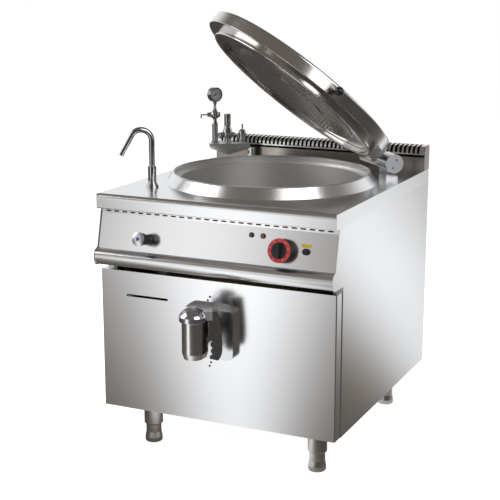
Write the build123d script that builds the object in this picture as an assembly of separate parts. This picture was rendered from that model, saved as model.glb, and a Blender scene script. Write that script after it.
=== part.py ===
from build123d import *
import os
from math import atan2, cos, radians, sin, sqrt

# A steam jacketed kettle on a free-standing cabinet. Millimetres, X to the right seen from
# the front, the front faces -Y, Z up, origin on the floor under the cabinet's centre.

# ---------------------------------------------------------------- driving dimensions
CABINET_W = 800.0            # across the side panels
CABINET_BACK = 450.0         # y of the back panel
WORKTOP_Z = 850.0
PANEL_T = 1.5                # cabinet sheet
TOP_T = 2.0                  # worktop and collar sheet
FOLD = 20.0                  # width of the small stiffening folds
FRAME_LEG = 30.0             # angle posts and flat bars of the inner frame
FRAME_T = 3.0

NOSE_FRONT = -446.0          # y of the worktop's front edge
NOSE_DROP = 46.0             # height of the folded front edge
NOSE_R = 15.0
FASCIA_STEP = 27.0           # fascia strip behind the worktop's front edge
STRIP_H = 17.0               # upright strip with the vent slots
FASCIA_LEAN = 27.0           # the sloping panel comes forward by this
FASCIA_H = 110.0
FASCIA_FOLD = 35.0           # the fascia's fold under its lower edge
NOSING_R = 25.5              # round bumper rail under the fascia
NOSING_FRONT = -470.0
NOSING_LEG = 40.0            # flat legs of the rail behind its round nose
CAP_PROUD = 3.0              # end caps in front of the fascia

VENT_PITCH = 28.6
VENT_LEN = 18.0
VENT_H = 4.5
END_MARGIN = 20.0            # rows of slots stop this far short, both ends together

FRONT_Y = -430.0             # face of the lower front panel
FRONT_TOP = 608.0
PANEL_BOTTOM = 154.0
FRONT_RETURN = 45.5          # depth of the front panel's folded sides and top
FRONT_PLAY = 2.0             # between the front panel and the cabinet's sides

KETTLE_Y = -4.0              # the kettle's centre line
VESSEL_R = 300.0             # inside the vessel
VESSEL_T = 3.0
VESSEL_DEPTH = 443.5         # from the gutter down to the middle of the floor
VESSEL_DISH = 6.0            # fall of the floor to its middle
VESSEL_CORNER = 45.0
GUTTER_H = 14.0              # the drip gutter over the worktop
GUTTER_W = 21.5              # from the wall to the inside of the lip
LIP_H = 35.4                 # the lip over the worktop
LIP_W = 5.5
COLLAR_W = 19.0              # the collar spreads by this down to the worktop
JACKET_GAP = 26.0            # steam space round the vessel
JACKET_T = 3.0
JACKET_CORNER = 36.0
JACKET_BELOW_LIP = 95.4
JACKET_UNDER = 40.0          # room for water and heaters under the vessel
LAGGING_T = 21.0
LAGGING_UP = 45.0            # the lagging starts over the jacket's floor
LAGGING_DOWN = 12.0

FLUE_DEPTH = 54.5
FLUE_BASE_H = 54.0
FLUE_GAP = 7.0               # open joint between the riser and the grille
GRILLE_H = 31.0
GRILLE_PITCH = 16.0
GRILLE_SLOT_W = 8.5

FOOT_IN = 107.5              # from the cabinet's sides to the feet
FOOT_FRONT_Y = -301.0
FOOT_BACK_Y = 363.0
SLEEVE_R = 31.0
SLEEVE_H = 94.0
SLEEVE_CHAMFER = 4.0
FOOT_R = 27.0
FOOT_WAIST_R = 25.2
FOOT_PAD_R = 28.5
FOOT_FIT = 0.1               # radial play of the foot in its sleeve

HINGE_BEARING = 43.56        # direction from the kettle's centre to the hinge, degrees
HINGE_OUT = 36.3             # hinge axis outside the lid
HINGE_UP = 53.5              # hinge axis over the worktop
HOUSING_R = 31.0
HOUSING_L = 68.5
HOUSING_WALL = 4.0
HINGE_CAP_T = 6.0
CAP_HOLE_R = 3.0
CAP_HOLE_OUT = 15.0
PEDESTAL_W = 42.0
PEDESTAL_H = 30.0
PEDESTAL_BACK = 14.5         # the pedestal's front behind the barrel's
HOUSING_BACK = 43.0          # from the foot of the axis to the housing's inner end
SHAFT_R = 12.0
RUNNING_FIT = 0.05
FACE_GAP = 0.3
ARM_R = 15.0                 # round arm along the lid's rim
ARM_DROP = 13.0
ARM_TO = 140.0
LUGS = (22.0, 118.0)         # places of the two lugs along the arm
LUG_T = 8.0

LID_REST = 40.05             # how far the lid stands open
LID_PROUD = 26.7             # the lid outside the lip
LID_H = 44.6
LID_LIFT = 1.2               # the shut lid over the lip
LID_T = 1.5
SPIGOT_PLAY = 6.5            # the spigot inside the lip
SPIGOT_W = 14.0
SPIGOT_H = 18.8
LID_KNOB_BEARING = -51.0
LID_KNOB_R = 14.0
LID_KNOB_OUT = 42.0
STEM_R = 6.0

SPOUT_IN = 98.7              # from the cabinet's left side
SPOUT_Y = -265.2
SPOUT_R = 9.0
SPOUT_WALL = 1.5
SPOUT_RISE = 150.0           # over the worktop, where the riser starts to bend
SPOUT_BEND_R = 34.0
SPOUT_BEND = 150.5
SPOUT_END = 72.0
SPOUT_BEARING = 215.0
SPOUT_COLLAR_R = 13.5
SPOUT_COLLAR_H = 67.0
SPOUT_SOCKET = 40.0
SPOUT_TAIL = 22.0            # the base's tail under the worktop

DRAIN_X = -15.0
DRAIN_UP = 30.0              # the outlet's centre over the vessel's floor
DRAIN_R = 30.0
DRAIN_BORE = 26.5
DRAIN_IN = 60.0              # the pipe starts this far inside the vessel's wall
TAP_OUT = 110.0              # tap's axis in front of the lower panel
TAP_R = 35.0
TAP_BACK = 28.0              # the tap body's depth behind its axis circle
TAP_OVER = 60.0              # from the outlet's centre to the body's top
TAP_UNDER = 55.5             # and to its bottom
TAP_TAPER_H = 18.0
TAP_DRAW_IN = 6.0
TAP_BOSS_R = 34.0            # socket over the pipe's end
TAP_BOSS_L = 42.0
PLUG_R = 28.0
PORT_R = 21.0
TAP_CAP_R = 42.5
TAP_CAP_H = 16.0
TAP_DOME_H = 27.0
OUTLET_R = 22.0
OUTLET_L = 18.0
HANDLE_BEARING = 27.0
HANDLE_ARM_Z = (6.0, 32.0)   # over the tap body's top
HANDLE_ARM_W = 34.0
HANDLE_ARM_T = 3.0
HANDLE_ARM_END = 57.0
ARM_SCREW_R = 4.0
GRIP_THICK = 27.0
GRIP_HOLLOW_R = 8.5
GRIP_HOLLOW_X = 49.0
GRIP_HOLLOWS = (-103.0, -84.0, -65.0)
# the grip's outline: distance from the tap's axis, height over the body's top
GRIP_INNER = ((46.5, -13.0), (46.0, -40.0), (51.0, -54.0), (52.0, -109.0), (48.5, -114.0))
GRIP_OUTER = ((73.0, -120.0), (84.0, -100.0), (86.0, -66.0), (83.5, -31.0), (77.5, 4.0), (72.0, 31.5))
COVER_X = -9.0
COVER_W = 166.0
COVER_DEPTH = 25.0
COVER_Z = (370.0, 542.0)
COVER_SLOPE = 18.0           # fall of the cover's top towards its front
COVER_TOP_R = 38.0
COVER_LOW_R = 21.0
COVER_SCREWS = ((0.5, 16.0), (-6.8, 4.0), (2.8, -21.0), (-2.2, -33.0))
COVER_SCREW_R = 3.2

HEADER_IN = 85.9             # from the cabinet's left side
HEADER_Y = 329.2
HEADER_ANGLE = 30.0
HEADER_L = 144.0
HEADER_DEPTH = 54.0
HEADER_UP = 65.0             # top of the header over the worktop
HEADER_END_H = 16.5
HEADER_KEEL_H = 41.0
HEADER_KEEL_T = -4.4
POST_R = 15.0
POST_T = 81.0
POST_LOW_Z = 720.0
GAUGE_T = -52.6              # places of the three fittings along the header
SAFETY_T = -7.3
VENT_T = 46.2
STAND_R = 10.5
COCK_UP = 102.0              # over the header
COCK_R = 16.0
LEVER_REACH = 50.0
GAUGE_UP = 174.5
GAUGE_R = 26.0
GAUGE_DEPTH = 21.0
GAUGE_RIM = 3.0
GAUGE_BEARING = -30.0        # the way the gauge looks
VALVE_H = 62.0               # safety valve's body

THERMO_IN = 172.0            # controls from the cabinet's nearer side
THERMO_Z = 726.0
THERMO_R = 36.0
THERMO_FACE_R = 24.5
THERMO_DEPTH = 28.5
WATER_IN = 171.0
WATER_Z = 717.0
LAMP_GREEN_IN, LAMP_AMBER_IN, LAMP_Z = 277.0, 239.5, 762.7
LAMP_R = 8.0
RESET_IN, RESET_Z = 98.5, 730.0

SLOT_IN = 165.8              # centre of the slot in the front panel
SLOT_Z = 530.5
SLOT_L = 147.0
SLOT_H = 7.5
LEVEL_PIPE_Z = 508.0
LEVEL_PIPE_R = 7.0
LEVEL_PIVOT_Y = -300.0
LEVEL_REACH = 152.0
LEVEL_SWING = 24.5           # each side of straight ahead

INLET_IN = 45.0
INLET_Z = 300.0
INLET_R = 10.5               # half-inch male thread
INLET_PROUD = 20.0           # how far the inlet stands out of the back panel
PIPE_R = 8.0
PIPE_BEND = 12.0
GLAND_IN = 100.0
GLAND_Z = 260.0
GLAND_R = 12.0
GLAND_BORE = 7.5

HEATER_UNDER = 20.5          # heaters under the vessel's inside
HEATER_R = 4.25
HEATER_COUNT = 3
HEATER_PITCH = 60.0
HEATER_HALF = 14.0
HEATER_NEAR, HEATER_FAR = -220.0, 285.0
HEATER_RISE = 26.0
FLANGE_R = 16.0

# ---------------------------------------------------------------- derived values
HALF_W = CABINET_W / 2
INNER_X = HALF_W - PANEL_T
SKIRT_BOTTOM = WORKTOP_Z - NOSE_DROP
STRIP_Y = NOSE_FRONT + FASCIA_STEP
SLOPE_TOP = SKIRT_BOTTOM - STRIP_H
SLOPE_LOW = SLOPE_TOP - FASCIA_H
SLOPE_LOW_Y = STRIP_Y - FASCIA_LEAN
SLOPE_TILT = atan2(FASCIA_LEAN, FASCIA_H)
NOSING_Z = SLOPE_LOW - NOSING_R
NOSING_Y = NOSING_FRONT + NOSING_R
SIDE_FRONT = FRONT_Y + FRONT_RETURN
TRAY_Z = PANEL_BOTTOM + PANEL_T
TRAY_TOP = TRAY_Z + TOP_T
VENT_COUNT = int((CABINET_W - END_MARGIN) / VENT_PITCH)
GRILLE_SLOTS = int((CABINET_W - END_MARGIN) / GRILLE_PITCH)
FLUE_FRONT = CABINET_BACK - FLUE_DEPTH

SEAT_R = VESSEL_R + GUTTER_W
LIP_R = SEAT_R + LIP_W
COLLAR_R = LIP_R + COLLAR_W
LIP_TOP = WORKTOP_Z + LIP_H
GUTTER_Z = WORKTOP_Z + GUTTER_H
VESSEL_FLOOR = GUTTER_Z - VESSEL_DEPTH
JACKET_R = VESSEL_R + JACKET_GAP
JACKET_TOP = LIP_TOP - JACKET_BELOW_LIP
JACKET_FLOOR = VESSEL_FLOOR - JACKET_UNDER
LAGGING_R = JACKET_R + JACKET_T + LAGGING_T
HEATER_Z = VESSEL_FLOOR - HEATER_UNDER
KETTLE = Pos(0, KETTLE_Y, 0)

LID_R = LIP_R + LID_PROUD
LID_SEAT = LIP_TOP + LID_LIFT
LID_TOP = LID_SEAT + LID_H
SPIGOT_R = SEAT_R - SPIGOT_PLAY
SPIGOT_IN = SPIGOT_R - SPIGOT_W
SPIGOT_LOW = LID_SEAT - SPIGOT_H
HINGE_REACH = LID_R + HINGE_OUT
HINGE_Z = WORKTOP_Z + HINGE_UP
ARM_FROM = -HOUSING_BACK + FACE_GAP

SPOUT_X = -HALF_W + SPOUT_IN
SPOUT_COLLAR_TOP = WORKTOP_Z + SPOUT_COLLAR_H
DRAIN_Z = VESSEL_FLOOR + DRAIN_UP
DRAIN_START = KETTLE_Y - VESSEL_R + DRAIN_IN
TAP_Y = FRONT_Y - TAP_OUT
TAP_BACK_Y = TAP_Y + TAP_BACK
TAP_TOP = DRAIN_Z + TAP_OVER
TAP_BOTTOM = DRAIN_Z - TAP_UNDER

HEADER_X = -HALF_W + HEADER_IN
HEADER_TOP = WORKTOP_Z + HEADER_UP
COCK_Z = HEADER_TOP + COCK_UP
GAUGE_Z = HEADER_TOP + GAUGE_UP
GAUGE_FACE = GAUGE_DEPTH / 2

THERMO_X = HALF_W - THERMO_IN
WATER_X = -HALF_W + WATER_IN
LAMP_GREEN_X = HALF_W - LAMP_GREEN_IN
LAMP_AMBER_X = HALF_W - LAMP_AMBER_IN
RESET_X = HALF_W - RESET_IN
SLOT_X = -HALF_W + SLOT_IN
FOOT_X = HALF_W - FOOT_IN
INLET_X = -HALF_W + INLET_IN
GLAND_X = HALF_W - GLAND_IN

OUTWARD = Vector(cos(radians(HINGE_BEARING)), sin(radians(HINGE_BEARING)), 0)
ALONG = Vector(-OUTWARD.Y, OUTWARD.X, 0)
HINGE_FOOT = Vector(OUTWARD.X * HINGE_REACH, KETTLE_Y + OUTWARD.Y * HINGE_REACH, HINGE_Z)
HINGE_AXIS = Axis(HINGE_FOOT, ALONG)


# ---------------------------------------------------------------- helpers
def turned(points):
    """Solid of revolution about Z from a closed (r, z) outline."""
    outline = Wire.make_polygon([(r, 0, z) for r, z in points], close=True)
    return revolve(Face(outline), Axis.Z)


def turned_sheet(points, radii, thickness, side=Side.LEFT):
    """Thin spun shell about Z along an open (r, z) path, thickened to one side."""
    path = FilletPolyline(*points, radius=radii) if radii else Polyline(*points)
    section = make_face(offset(path, amount=thickness, side=side))
    return revolve(Plane.XZ * section, Axis.Z)


def folded_sheet(points, radii, thickness, x_from, x_to, side=Side.LEFT):
    """Folded sheet along an open (y, z) path, running from x_from to x_to."""
    path = FilletPolyline(*points, radius=radii)
    section = make_face(offset(path, amount=thickness, side=side))
    plane = Plane(origin=(x_from, 0, 0), x_dir=(0, 1, 0), z_dir=(1, 0, 0))
    return extrude(plane * section, x_to - x_from)


def side_plate(points, radii, x_from, thickness):
    """Plate with a closed (y, z) outline standing in a YZ plane."""
    path = FilletPolyline(*points, radius=radii, close=True)
    plane = Plane(origin=(x_from, 0, 0), x_dir=(0, 1, 0), z_dir=(1, 0, 0))
    return extrude(plane * make_face(path), thickness)


def block(x_lim, y_lim, z_lim):
    """Box between three pairs of limits."""
    size = [hi - lo for lo, hi in (x_lim, y_lim, z_lim)]
    middle = [(hi + lo) / 2 for lo, hi in (x_lim, y_lim, z_lim)]
    return Pos(*middle) * Box(*size)


def upright(radius, z_from, z_to, x=0.0, y=0.0):
    """Upright cylinder between two heights."""
    return Pos(x, y, (z_from + z_to) / 2) * Cylinder(radius, z_to - z_from)


def rod(radius, start, end):
    """Cylinder between two points."""
    start, end = Vector(*start), Vector(*end)
    run = end - start
    plane = Plane(origin=start, z_dir=run.normalized())
    return extrude(plane * Circle(radius), run.length)


def bent_tube(radius, points, bend):
    """Round bar along straight runs joined by arcs."""
    path = FilletPolyline(*points, radius=bend)
    start = path @ 0
    plane = Plane(origin=start, z_dir=path % 0)
    return sweep(plane * Circle(radius), path=path)


def fascia_y(z):
    """y of the sloping fascia's face at a height."""
    return STRIP_Y - FASCIA_LEAN * (SLOPE_TOP - z) / FASCIA_H


def fascia_plane(x, z, out=0.0):
    """Plane on the sloping fascia: local Z comes straight out of it."""
    normal = Vector(0, -cos(SLOPE_TILT), sin(SLOPE_TILT))
    return Plane(origin=Vector(x, fascia_y(z), z) + normal * out, x_dir=(1, 0, 0), z_dir=normal)


def on_fascia(x, z, radius, out_from, out_to):
    """Cylinder square to the fascia between two distances from its face."""
    return extrude(fascia_plane(x, z, out_from) * Circle(radius), out_to - out_from)


def hinge_plane(s):
    """Plane square to the hinge axis: local X outward, local Y up, local Z to the front end."""
    return Plane(origin=HINGE_FOOT + ALONG * s, x_dir=OUTWARD, z_dir=ALONG * -1)


def on_hinge(radius, s_from, s_to):
    """Cylinder about the hinge axis between two places along it."""
    return extrude(hinge_plane(s_to) * Circle(radius), s_to - s_from)


def header_point(t, across=0.0):
    """Point on the worktop plan, t along the header and across behind its middle."""
    a = radians(HEADER_ANGLE)
    return (HEADER_X + t * cos(a) - across * sin(a), HEADER_Y + t * sin(a) + across * cos(a))


# ---------------------------------------------------------------- cabinet
def worktop():
    """Folded top with a front nosing, side skirts and the raised collar round the mouth."""
    outline = [(STRIP_Y, SKIRT_BOTTOM), (NOSE_FRONT, SKIRT_BOTTOM), (NOSE_FRONT, WORKTOP_Z),
               (CABINET_BACK, WORKTOP_Z)]
    sheet = folded_sheet(outline, [TOP_T + 1, NOSE_R], TOP_T, -INNER_X, INNER_X, Side.RIGHT)
    skirt = [(NOSE_FRONT, SKIRT_BOTTOM), (NOSE_FRONT, WORKTOP_Z), (CABINET_BACK, WORKTOP_Z),
             (CABINET_BACK, SKIRT_BOTTOM)]
    for x in (-HALF_W, INNER_X):
        sheet += side_plate(skirt, [1, 1, NOSE_R, 1], x, PANEL_T)
    sheet -= KETTLE * upright(COLLAR_R - TOP_T, WORKTOP_Z - 10, WORKTOP_Z + 10)
    lip_in = SEAT_R + TOP_T
    collar = turned([(COLLAR_R, WORKTOP_Z), (LIP_R, LIP_TOP - 2.5), (LIP_R - 2.5, LIP_TOP),
                     (SEAT_R, LIP_TOP), (SEAT_R, GUTTER_Z - VESSEL_T), (lip_in, GUTTER_Z - VESSEL_T),
                     (lip_in, LIP_TOP - TOP_T), (COLLAR_R - 2 * TOP_T, WORKTOP_Z - TOP_T),
                     (COLLAR_R, WORKTOP_Z - TOP_T)])
    sheet += KETTLE * collar
    post_x, post_y = header_point(POST_T)
    sheet -= upright(POST_R, WORKTOP_Z - 10, WORKTOP_Z + 10, post_x, post_y)
    sheet -= upright(SPOUT_COLLAR_R, WORKTOP_Z - 10, WORKTOP_Z + 10, SPOUT_X, SPOUT_Y)
    return sheet


def side_panels():
    """Plain side walls with a small fold along their front edges."""
    walls = []
    for sign in (-1, 1):
        lo, hi = sorted((sign * HALF_W, sign * INNER_X))
        wall = block((lo, hi), (SIDE_FRONT, CABINET_BACK), (PANEL_BOTTOM, SKIRT_BOTTOM))
        lo, hi = sorted((sign * INNER_X, sign * (INNER_X - FOLD)))
        fold = block((lo, hi), (SIDE_FRONT, SIDE_FRONT + PANEL_T), (PANEL_BOTTOM, SKIRT_BOTTOM))
        walls.append(wall + fold)
    return Compound(children=walls)


def back_panel():
    """Back wall with the water inlet's and the cable gland's holes."""
    wall = block((-INNER_X, INNER_X), (CABINET_BACK - PANEL_T, CABINET_BACK),
                 (PANEL_BOTTOM, SKIRT_BOTTOM))
    for x, z, r in ((INLET_X, INLET_Z, PIPE_R), (GLAND_X, GLAND_Z, GLAND_R)):
        wall -= rod(r, (x, CABINET_BACK - 20, z), (x, CABINET_BACK + 20, z))
    return wall


def base_tray():
    """Floor of the cabinet, which the feet carry."""
    return block((-INNER_X, INNER_X), (SIDE_FRONT + PANEL_T, CABINET_BACK - PANEL_T), (TRAY_Z, TRAY_TOP))


def inner_frame():
    """Welded frame: four angle posts and an upper ring of flat bar."""
    leg, thick = FRAME_LEG, FRAME_T
    x_out, y_front, y_back = INNER_X, SIDE_FRONT + PANEL_T, CABINET_BACK - PANEL_T
    frame = None
    for sx in (-1, 1):
        for y_edge, sy in ((y_front, 1), (y_back, -1)):
            x_lim = sorted((sx * x_out, sx * (x_out - leg)))
            y_lim = sorted((y_edge, y_edge + sy * leg))
            post = block(x_lim, y_lim, (TRAY_TOP, SKIRT_BOTTOM))
            x_cut = sorted((sx * (x_out - thick), sx * (x_out - leg)))
            y_cut = sorted((y_edge + sy * thick, y_edge + sy * leg))
            post -= block(x_cut, y_cut, (TRAY_TOP, SKIRT_BOTTOM))
            frame = post if frame is None else frame + post
    z_bar = (SKIRT_BOTTOM - leg, SKIRT_BOTTOM)
    for y_edge, sy in ((y_front, 1), (y_back, -1)):
        frame += block((-x_out, x_out), sorted((y_edge, y_edge + sy * thick)), z_bar)
    for sx in (-1, 1):
        frame += block(sorted((sx * x_out, sx * (x_out - thick))), (y_front, y_back), z_bar)
    return frame


def front_panel():
    """Lower front: a tray-like panel with the slot and the hole for the drain pipe."""
    half = HALF_W - FRONT_PLAY
    path = [(-half, SIDE_FRONT), (-half, FRONT_Y), (half, FRONT_Y), (half, SIDE_FRONT)]
    section = make_face(offset(FilletPolyline(*path, radius=[3, 3]), amount=PANEL_T, side=Side.LEFT))
    panel = extrude(Plane(origin=(0, 0, PANEL_BOTTOM)) * section, FRONT_TOP - PANEL_BOTTOM)
    inside = half - PANEL_T
    for depth, z_lim in ((FRONT_RETURN, (FRONT_TOP - PANEL_T, FRONT_TOP)), (FOLD, (PANEL_BOTTOM, TRAY_Z))):
        panel += block((-inside, inside), (FRONT_Y + PANEL_T, FRONT_Y + depth), z_lim)
    panel -= rod(DRAIN_R, (DRAIN_X, FRONT_Y - 10, DRAIN_Z), (DRAIN_X, FRONT_Y + 10, DRAIN_Z))
    slot = Plane(origin=(SLOT_X, FRONT_Y - 10, SLOT_Z), x_dir=(1, 0, 0), z_dir=(0, 1, 0))
    return panel - extrude(slot * SlotOverall(SLOT_L, SLOT_H), 20)


def control_panel():
    """Fascia: an upright strip with vent slots over the sloping control panel."""
    path = [(STRIP_Y, SKIRT_BOTTOM), (STRIP_Y, SLOPE_TOP), (SLOPE_LOW_Y, SLOPE_LOW),
            (SLOPE_LOW_Y + FASCIA_FOLD, SLOPE_LOW)]
    panel = folded_sheet(path, [2, 2], PANEL_T, -INNER_X, INNER_X, Side.LEFT)
    vent_z = SKIRT_BOTTOM - STRIP_H / 2 - 1
    vent = Plane(origin=(0, STRIP_Y - 5, vent_z), x_dir=(1, 0, 0), z_dir=(0, 1, 0))
    places = GridLocations(VENT_PITCH, 0, VENT_COUNT, 1)
    vents = Sketch() + [place * SlotOverall(VENT_LEN, VENT_H) for place in places]
    panel -= extrude(vent * vents, 10)
    holes = ((THERMO_X, THERMO_Z, 5.0), (WATER_X, WATER_Z, 11.0), (LAMP_GREEN_X, LAMP_Z, 6.0),
             (LAMP_AMBER_X, LAMP_Z, 6.0), (RESET_X, RESET_Z, 6.5))
    for x, z, r in holes:
        panel -= on_fascia(x, z, r, -10, 10)
    return panel


def bumper_rail():
    """Round-nosed rail under the fascia."""
    back, low = NOSING_Y + NOSING_LEG, SLOPE_LOW - 2 * NOSING_R
    path = [(back, SLOPE_LOW), (NOSING_FRONT, SLOPE_LOW), (NOSING_FRONT, low), (back, low)]
    nose = NOSING_R - 0.01
    return folded_sheet(path, [nose, nose], PANEL_T, -INNER_X, INNER_X, Side.LEFT)


def fascia_end_caps():
    """Pair of plates that close the fascia and the rail at the sides."""
    r = NOSING_R + 1
    front = NOSING_FRONT - 1
    path = [(SIDE_FRONT, SKIRT_BOTTOM), (STRIP_Y - CAP_PROUD + 2, SKIRT_BOTTOM),
            (SLOPE_LOW_Y - CAP_PROUD, SLOPE_LOW + 4), (front, SLOPE_LOW - 4),
            (front, NOSING_Z - r), (SIDE_FRONT, NOSING_Z - r)]
    caps = [side_plate(path, [1, 1, 12, 14, 20, 1], x, PANEL_T) for x in (-HALF_W, INNER_X)]
    return Compound(children=caps)


# ---------------------------------------------------------------- kettle
def inner_vessel():
    """Cooking vessel: flanged mouth, straight wall and a rounded floor with the drain hole."""
    upturn = SEAT_R - VESSEL_T
    path = [(upturn, LIP_TOP - 5), (upturn, GUTTER_Z), (VESSEL_R, GUTTER_Z - 1),
            (VESSEL_R, VESSEL_FLOOR + VESSEL_DISH), (0, VESSEL_FLOOR)]
    vessel = KETTLE * turned_sheet(path, [1.5, 1.5, VESSEL_CORNER], VESSEL_T, Side.LEFT)
    outside = KETTLE_Y - VESSEL_R - DRAIN_IN
    return vessel - rod(DRAIN_BORE, (DRAIN_X, outside, DRAIN_Z), (DRAIN_X, DRAIN_START, DRAIN_Z))


def vessel_envelope():
    """Everything inside the vessel's outer surface, for trimming pipes."""
    path = [(0, VESSEL_FLOOR), (VESSEL_R, VESSEL_FLOOR + VESSEL_DISH), (VESSEL_R, GUTTER_Z), (0, GUTTER_Z)]
    wire = FilletPolyline(*path, radius=[VESSEL_CORNER, 1], close=False)
    section = make_face(wire + Line((0, GUTTER_Z), (0, VESSEL_FLOOR)))
    grown = offset(section, amount=VESSEL_T)
    grown = grown & Pos(VESSEL_R, GUTTER_Z) * Rectangle(2 * VESSEL_R, 4 * GUTTER_Z)
    return KETTLE * revolve(Plane.XZ * grown, Axis.Z)


def jacket_shell():
    """Steam jacket: outer wall, dished floor and the ring that closes it on the vessel."""
    top_in = VESSEL_R + VESSEL_T
    path = [(top_in, JACKET_TOP), (JACKET_R + JACKET_T, JACKET_TOP),
            (JACKET_R + JACKET_T, JACKET_FLOOR), (0, JACKET_FLOOR)]
    shell = KETTLE * turned_sheet(path, [10, JACKET_CORNER], JACKET_T, Side.RIGHT)
    shell -= rod(DRAIN_R, (DRAIN_X, KETTLE_Y - LAGGING_R, DRAIN_Z), (DRAIN_X, DRAIN_START, DRAIN_Z))
    return shell - heater_flange()


def lagging():
    """Mineral wool round the jacket."""
    low, high = JACKET_FLOOR + LAGGING_UP, JACKET_TOP - LAGGING_DOWN
    inside = LAGGING_R - LAGGING_T
    wall = KETTLE * turned([(inside, low), (LAGGING_R, low), (LAGGING_R, high), (inside, high)])
    outside = KETTLE_Y - LAGGING_R - 10
    wall -= rod(DRAIN_R, (DRAIN_X, outside, DRAIN_Z), (DRAIN_X, DRAIN_START, DRAIN_Z))
    post_x, post_y = header_point(POST_T)
    wall -= rod(POST_R, (post_x, post_y, POST_LOW_Z), (0, KETTLE_Y, POST_LOW_Z))
    wall -= rod(LEVEL_PIPE_R, (SLOT_X, LEVEL_PIVOT_Y, LEVEL_PIPE_Z), (0, KETTLE_Y, LEVEL_PIPE_Z))
    return wall - heater_flange()


def heater_flange():
    """Round flange that seals the heaters in the jacket's wall."""
    wall_y, z = KETTLE_Y + JACKET_R, HEATER_Z + HEATER_RISE
    return rod(FLANGE_R, (0, wall_y - 20, z), (0, wall_y + 12, z))


def heating_elements():
    """Three hairpin immersion heaters on their flange, in the water under the vessel."""
    y_near, y_far = KETTLE_Y + HEATER_NEAR, KETTLE_Y + HEATER_FAR
    bar_half = HEATER_PITCH + HEATER_HALF + 2.5 * HEATER_R
    body = block((-bar_half, bar_half), (y_far, y_far + 10), (HEATER_Z - 10, HEATER_Z + 10))
    body += block((-12, 12), (y_far, KETTLE_Y + JACKET_R - 16), (HEATER_Z - 6, HEATER_Z + HEATER_RISE + 2))
    body += heater_flange()
    for i in range(HEATER_COUNT):
        x = (i - (HEATER_COUNT - 1) / 2) * HEATER_PITCH
        for leg_x in (x - HEATER_HALF, x + HEATER_HALF):
            body += rod(HEATER_R, (leg_x, y_near, HEATER_Z), (leg_x, y_far, HEATER_Z))
        bow = Pos(x, y_near, HEATER_Z) * Torus(HEATER_HALF, HEATER_R)
        reach = HEATER_HALF + 2 * HEATER_R
        body += bow & block((x - reach, x + reach), (y_near - reach, y_near),
                            (HEATER_Z - 2 * HEATER_R, HEATER_Z + 2 * HEATER_R))
    return body


def drain_pipe():
    """Outlet from the vessel's floor through the jacket to the tap."""
    start = (DRAIN_X, DRAIN_START, DRAIN_Z)
    end = (DRAIN_X, TAP_BACK_Y, DRAIN_Z)
    tube = rod(DRAIN_R, start, end) - rod(DRAIN_BORE, start, end)
    return largest(tube - vessel_envelope() - tap_outline())


def largest(shape):
    """The biggest solid of a cut that may leave crumbs."""
    return max(shape.solids(), key=lambda s: s.volume)


# ---------------------------------------------------------------- drain tap
def tap_plan(radius, z):
    """Plan of the tap's body at a height: a round front with a straight-sided back."""
    left, right = DRAIN_X - radius, DRAIN_X + radius
    front = (DRAIN_X, TAP_Y - radius, z)
    edge = Wire([Edge.make_three_point_arc((left, TAP_Y, z), front, (right, TAP_Y, z)),
                 Edge.make_line((right, TAP_Y, z), (right, TAP_BACK_Y, z)),
                 Edge.make_line((right, TAP_BACK_Y, z), (left, TAP_BACK_Y, z)),
                 Edge.make_line((left, TAP_BACK_Y, z), (left, TAP_Y, z))])
    return Face(edge)


def tap_outline():
    """Outer form of the tap's body: straight, then drawn in towards the outlet."""
    shoulder = TAP_BOTTOM + TAP_TAPER_H
    straight = extrude(tap_plan(TAP_R, shoulder), TAP_TOP - shoulder, dir=(0, 0, 1))
    taper = loft([tap_plan(TAP_R, shoulder), tap_plan(TAP_R - TAP_DRAW_IN, TAP_BOTTOM)], ruled=True)
    return straight + taper


def on_tap(radius, z_from, z_to):
    """Upright cylinder about the tap's axis."""
    return upright(radius, z_from, z_to, DRAIN_X, TAP_Y)


def drain_tap_body():
    """Cast tap body: inlet at the back, plug bore from above, outlet below."""
    body = tap_outline()
    body -= on_tap(PLUG_R + RUNNING_FIT, TAP_BOTTOM + OUTLET_L, TAP_TOP + 5)
    body -= on_tap(OUTLET_R, TAP_BOTTOM - 5, TAP_TOP)
    mouth = TAP_BACK_Y + TAP_BOSS_L
    body += rod(TAP_BOSS_R, (DRAIN_X, TAP_BACK_Y, DRAIN_Z), (DRAIN_X, mouth, DRAIN_Z))
    body -= rod(DRAIN_R, (DRAIN_X, TAP_BACK_Y, DRAIN_Z), (DRAIN_X, mouth + 1, DRAIN_Z))
    return body - rod(DRAIN_BORE, (DRAIN_X, TAP_Y, DRAIN_Z), (DRAIN_X, TAP_BACK_Y + 1, DRAIN_Z))


def drain_plug():
    """Turning plug with its side port, under the domed cap."""
    low = TAP_BOTTOM + OUTLET_L + FACE_GAP
    cap_low = TAP_TOP + FACE_GAP
    rim_top = cap_low + TAP_CAP_H
    plug = on_tap(PLUG_R, low, cap_low) - on_tap(PORT_R, low - 1, DRAIN_Z + PORT_R)
    plug -= rod(PORT_R, (DRAIN_X, TAP_Y, DRAIN_Z), (DRAIN_X + TAP_CAP_R, TAP_Y, DRAIN_Z))
    dome_r = (TAP_CAP_R ** 2 + TAP_DOME_H ** 2) / (2 * TAP_DOME_H)
    dome = Pos(DRAIN_X, TAP_Y, rim_top + TAP_DOME_H - dome_r) * Sphere(dome_r)
    dome = dome & on_tap(TAP_CAP_R, rim_top, rim_top + TAP_DOME_H + 1)
    rim = on_tap(TAP_CAP_R, cap_low, rim_top)
    return plug + fillet(rim.edges().filter_by(GeomType.CIRCLE).sort_by(Axis.Z)[0], 2) + dome


def handle_plane():
    """Upright plane through the tap's axis along the handle: local X outward, Y up from its top."""
    a = radians(HANDLE_BEARING)
    return Plane(origin=(DRAIN_X, TAP_Y, TAP_TOP), x_dir=(cos(a), sin(a), 0), z_dir=(sin(a), -cos(a), 0))


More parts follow.
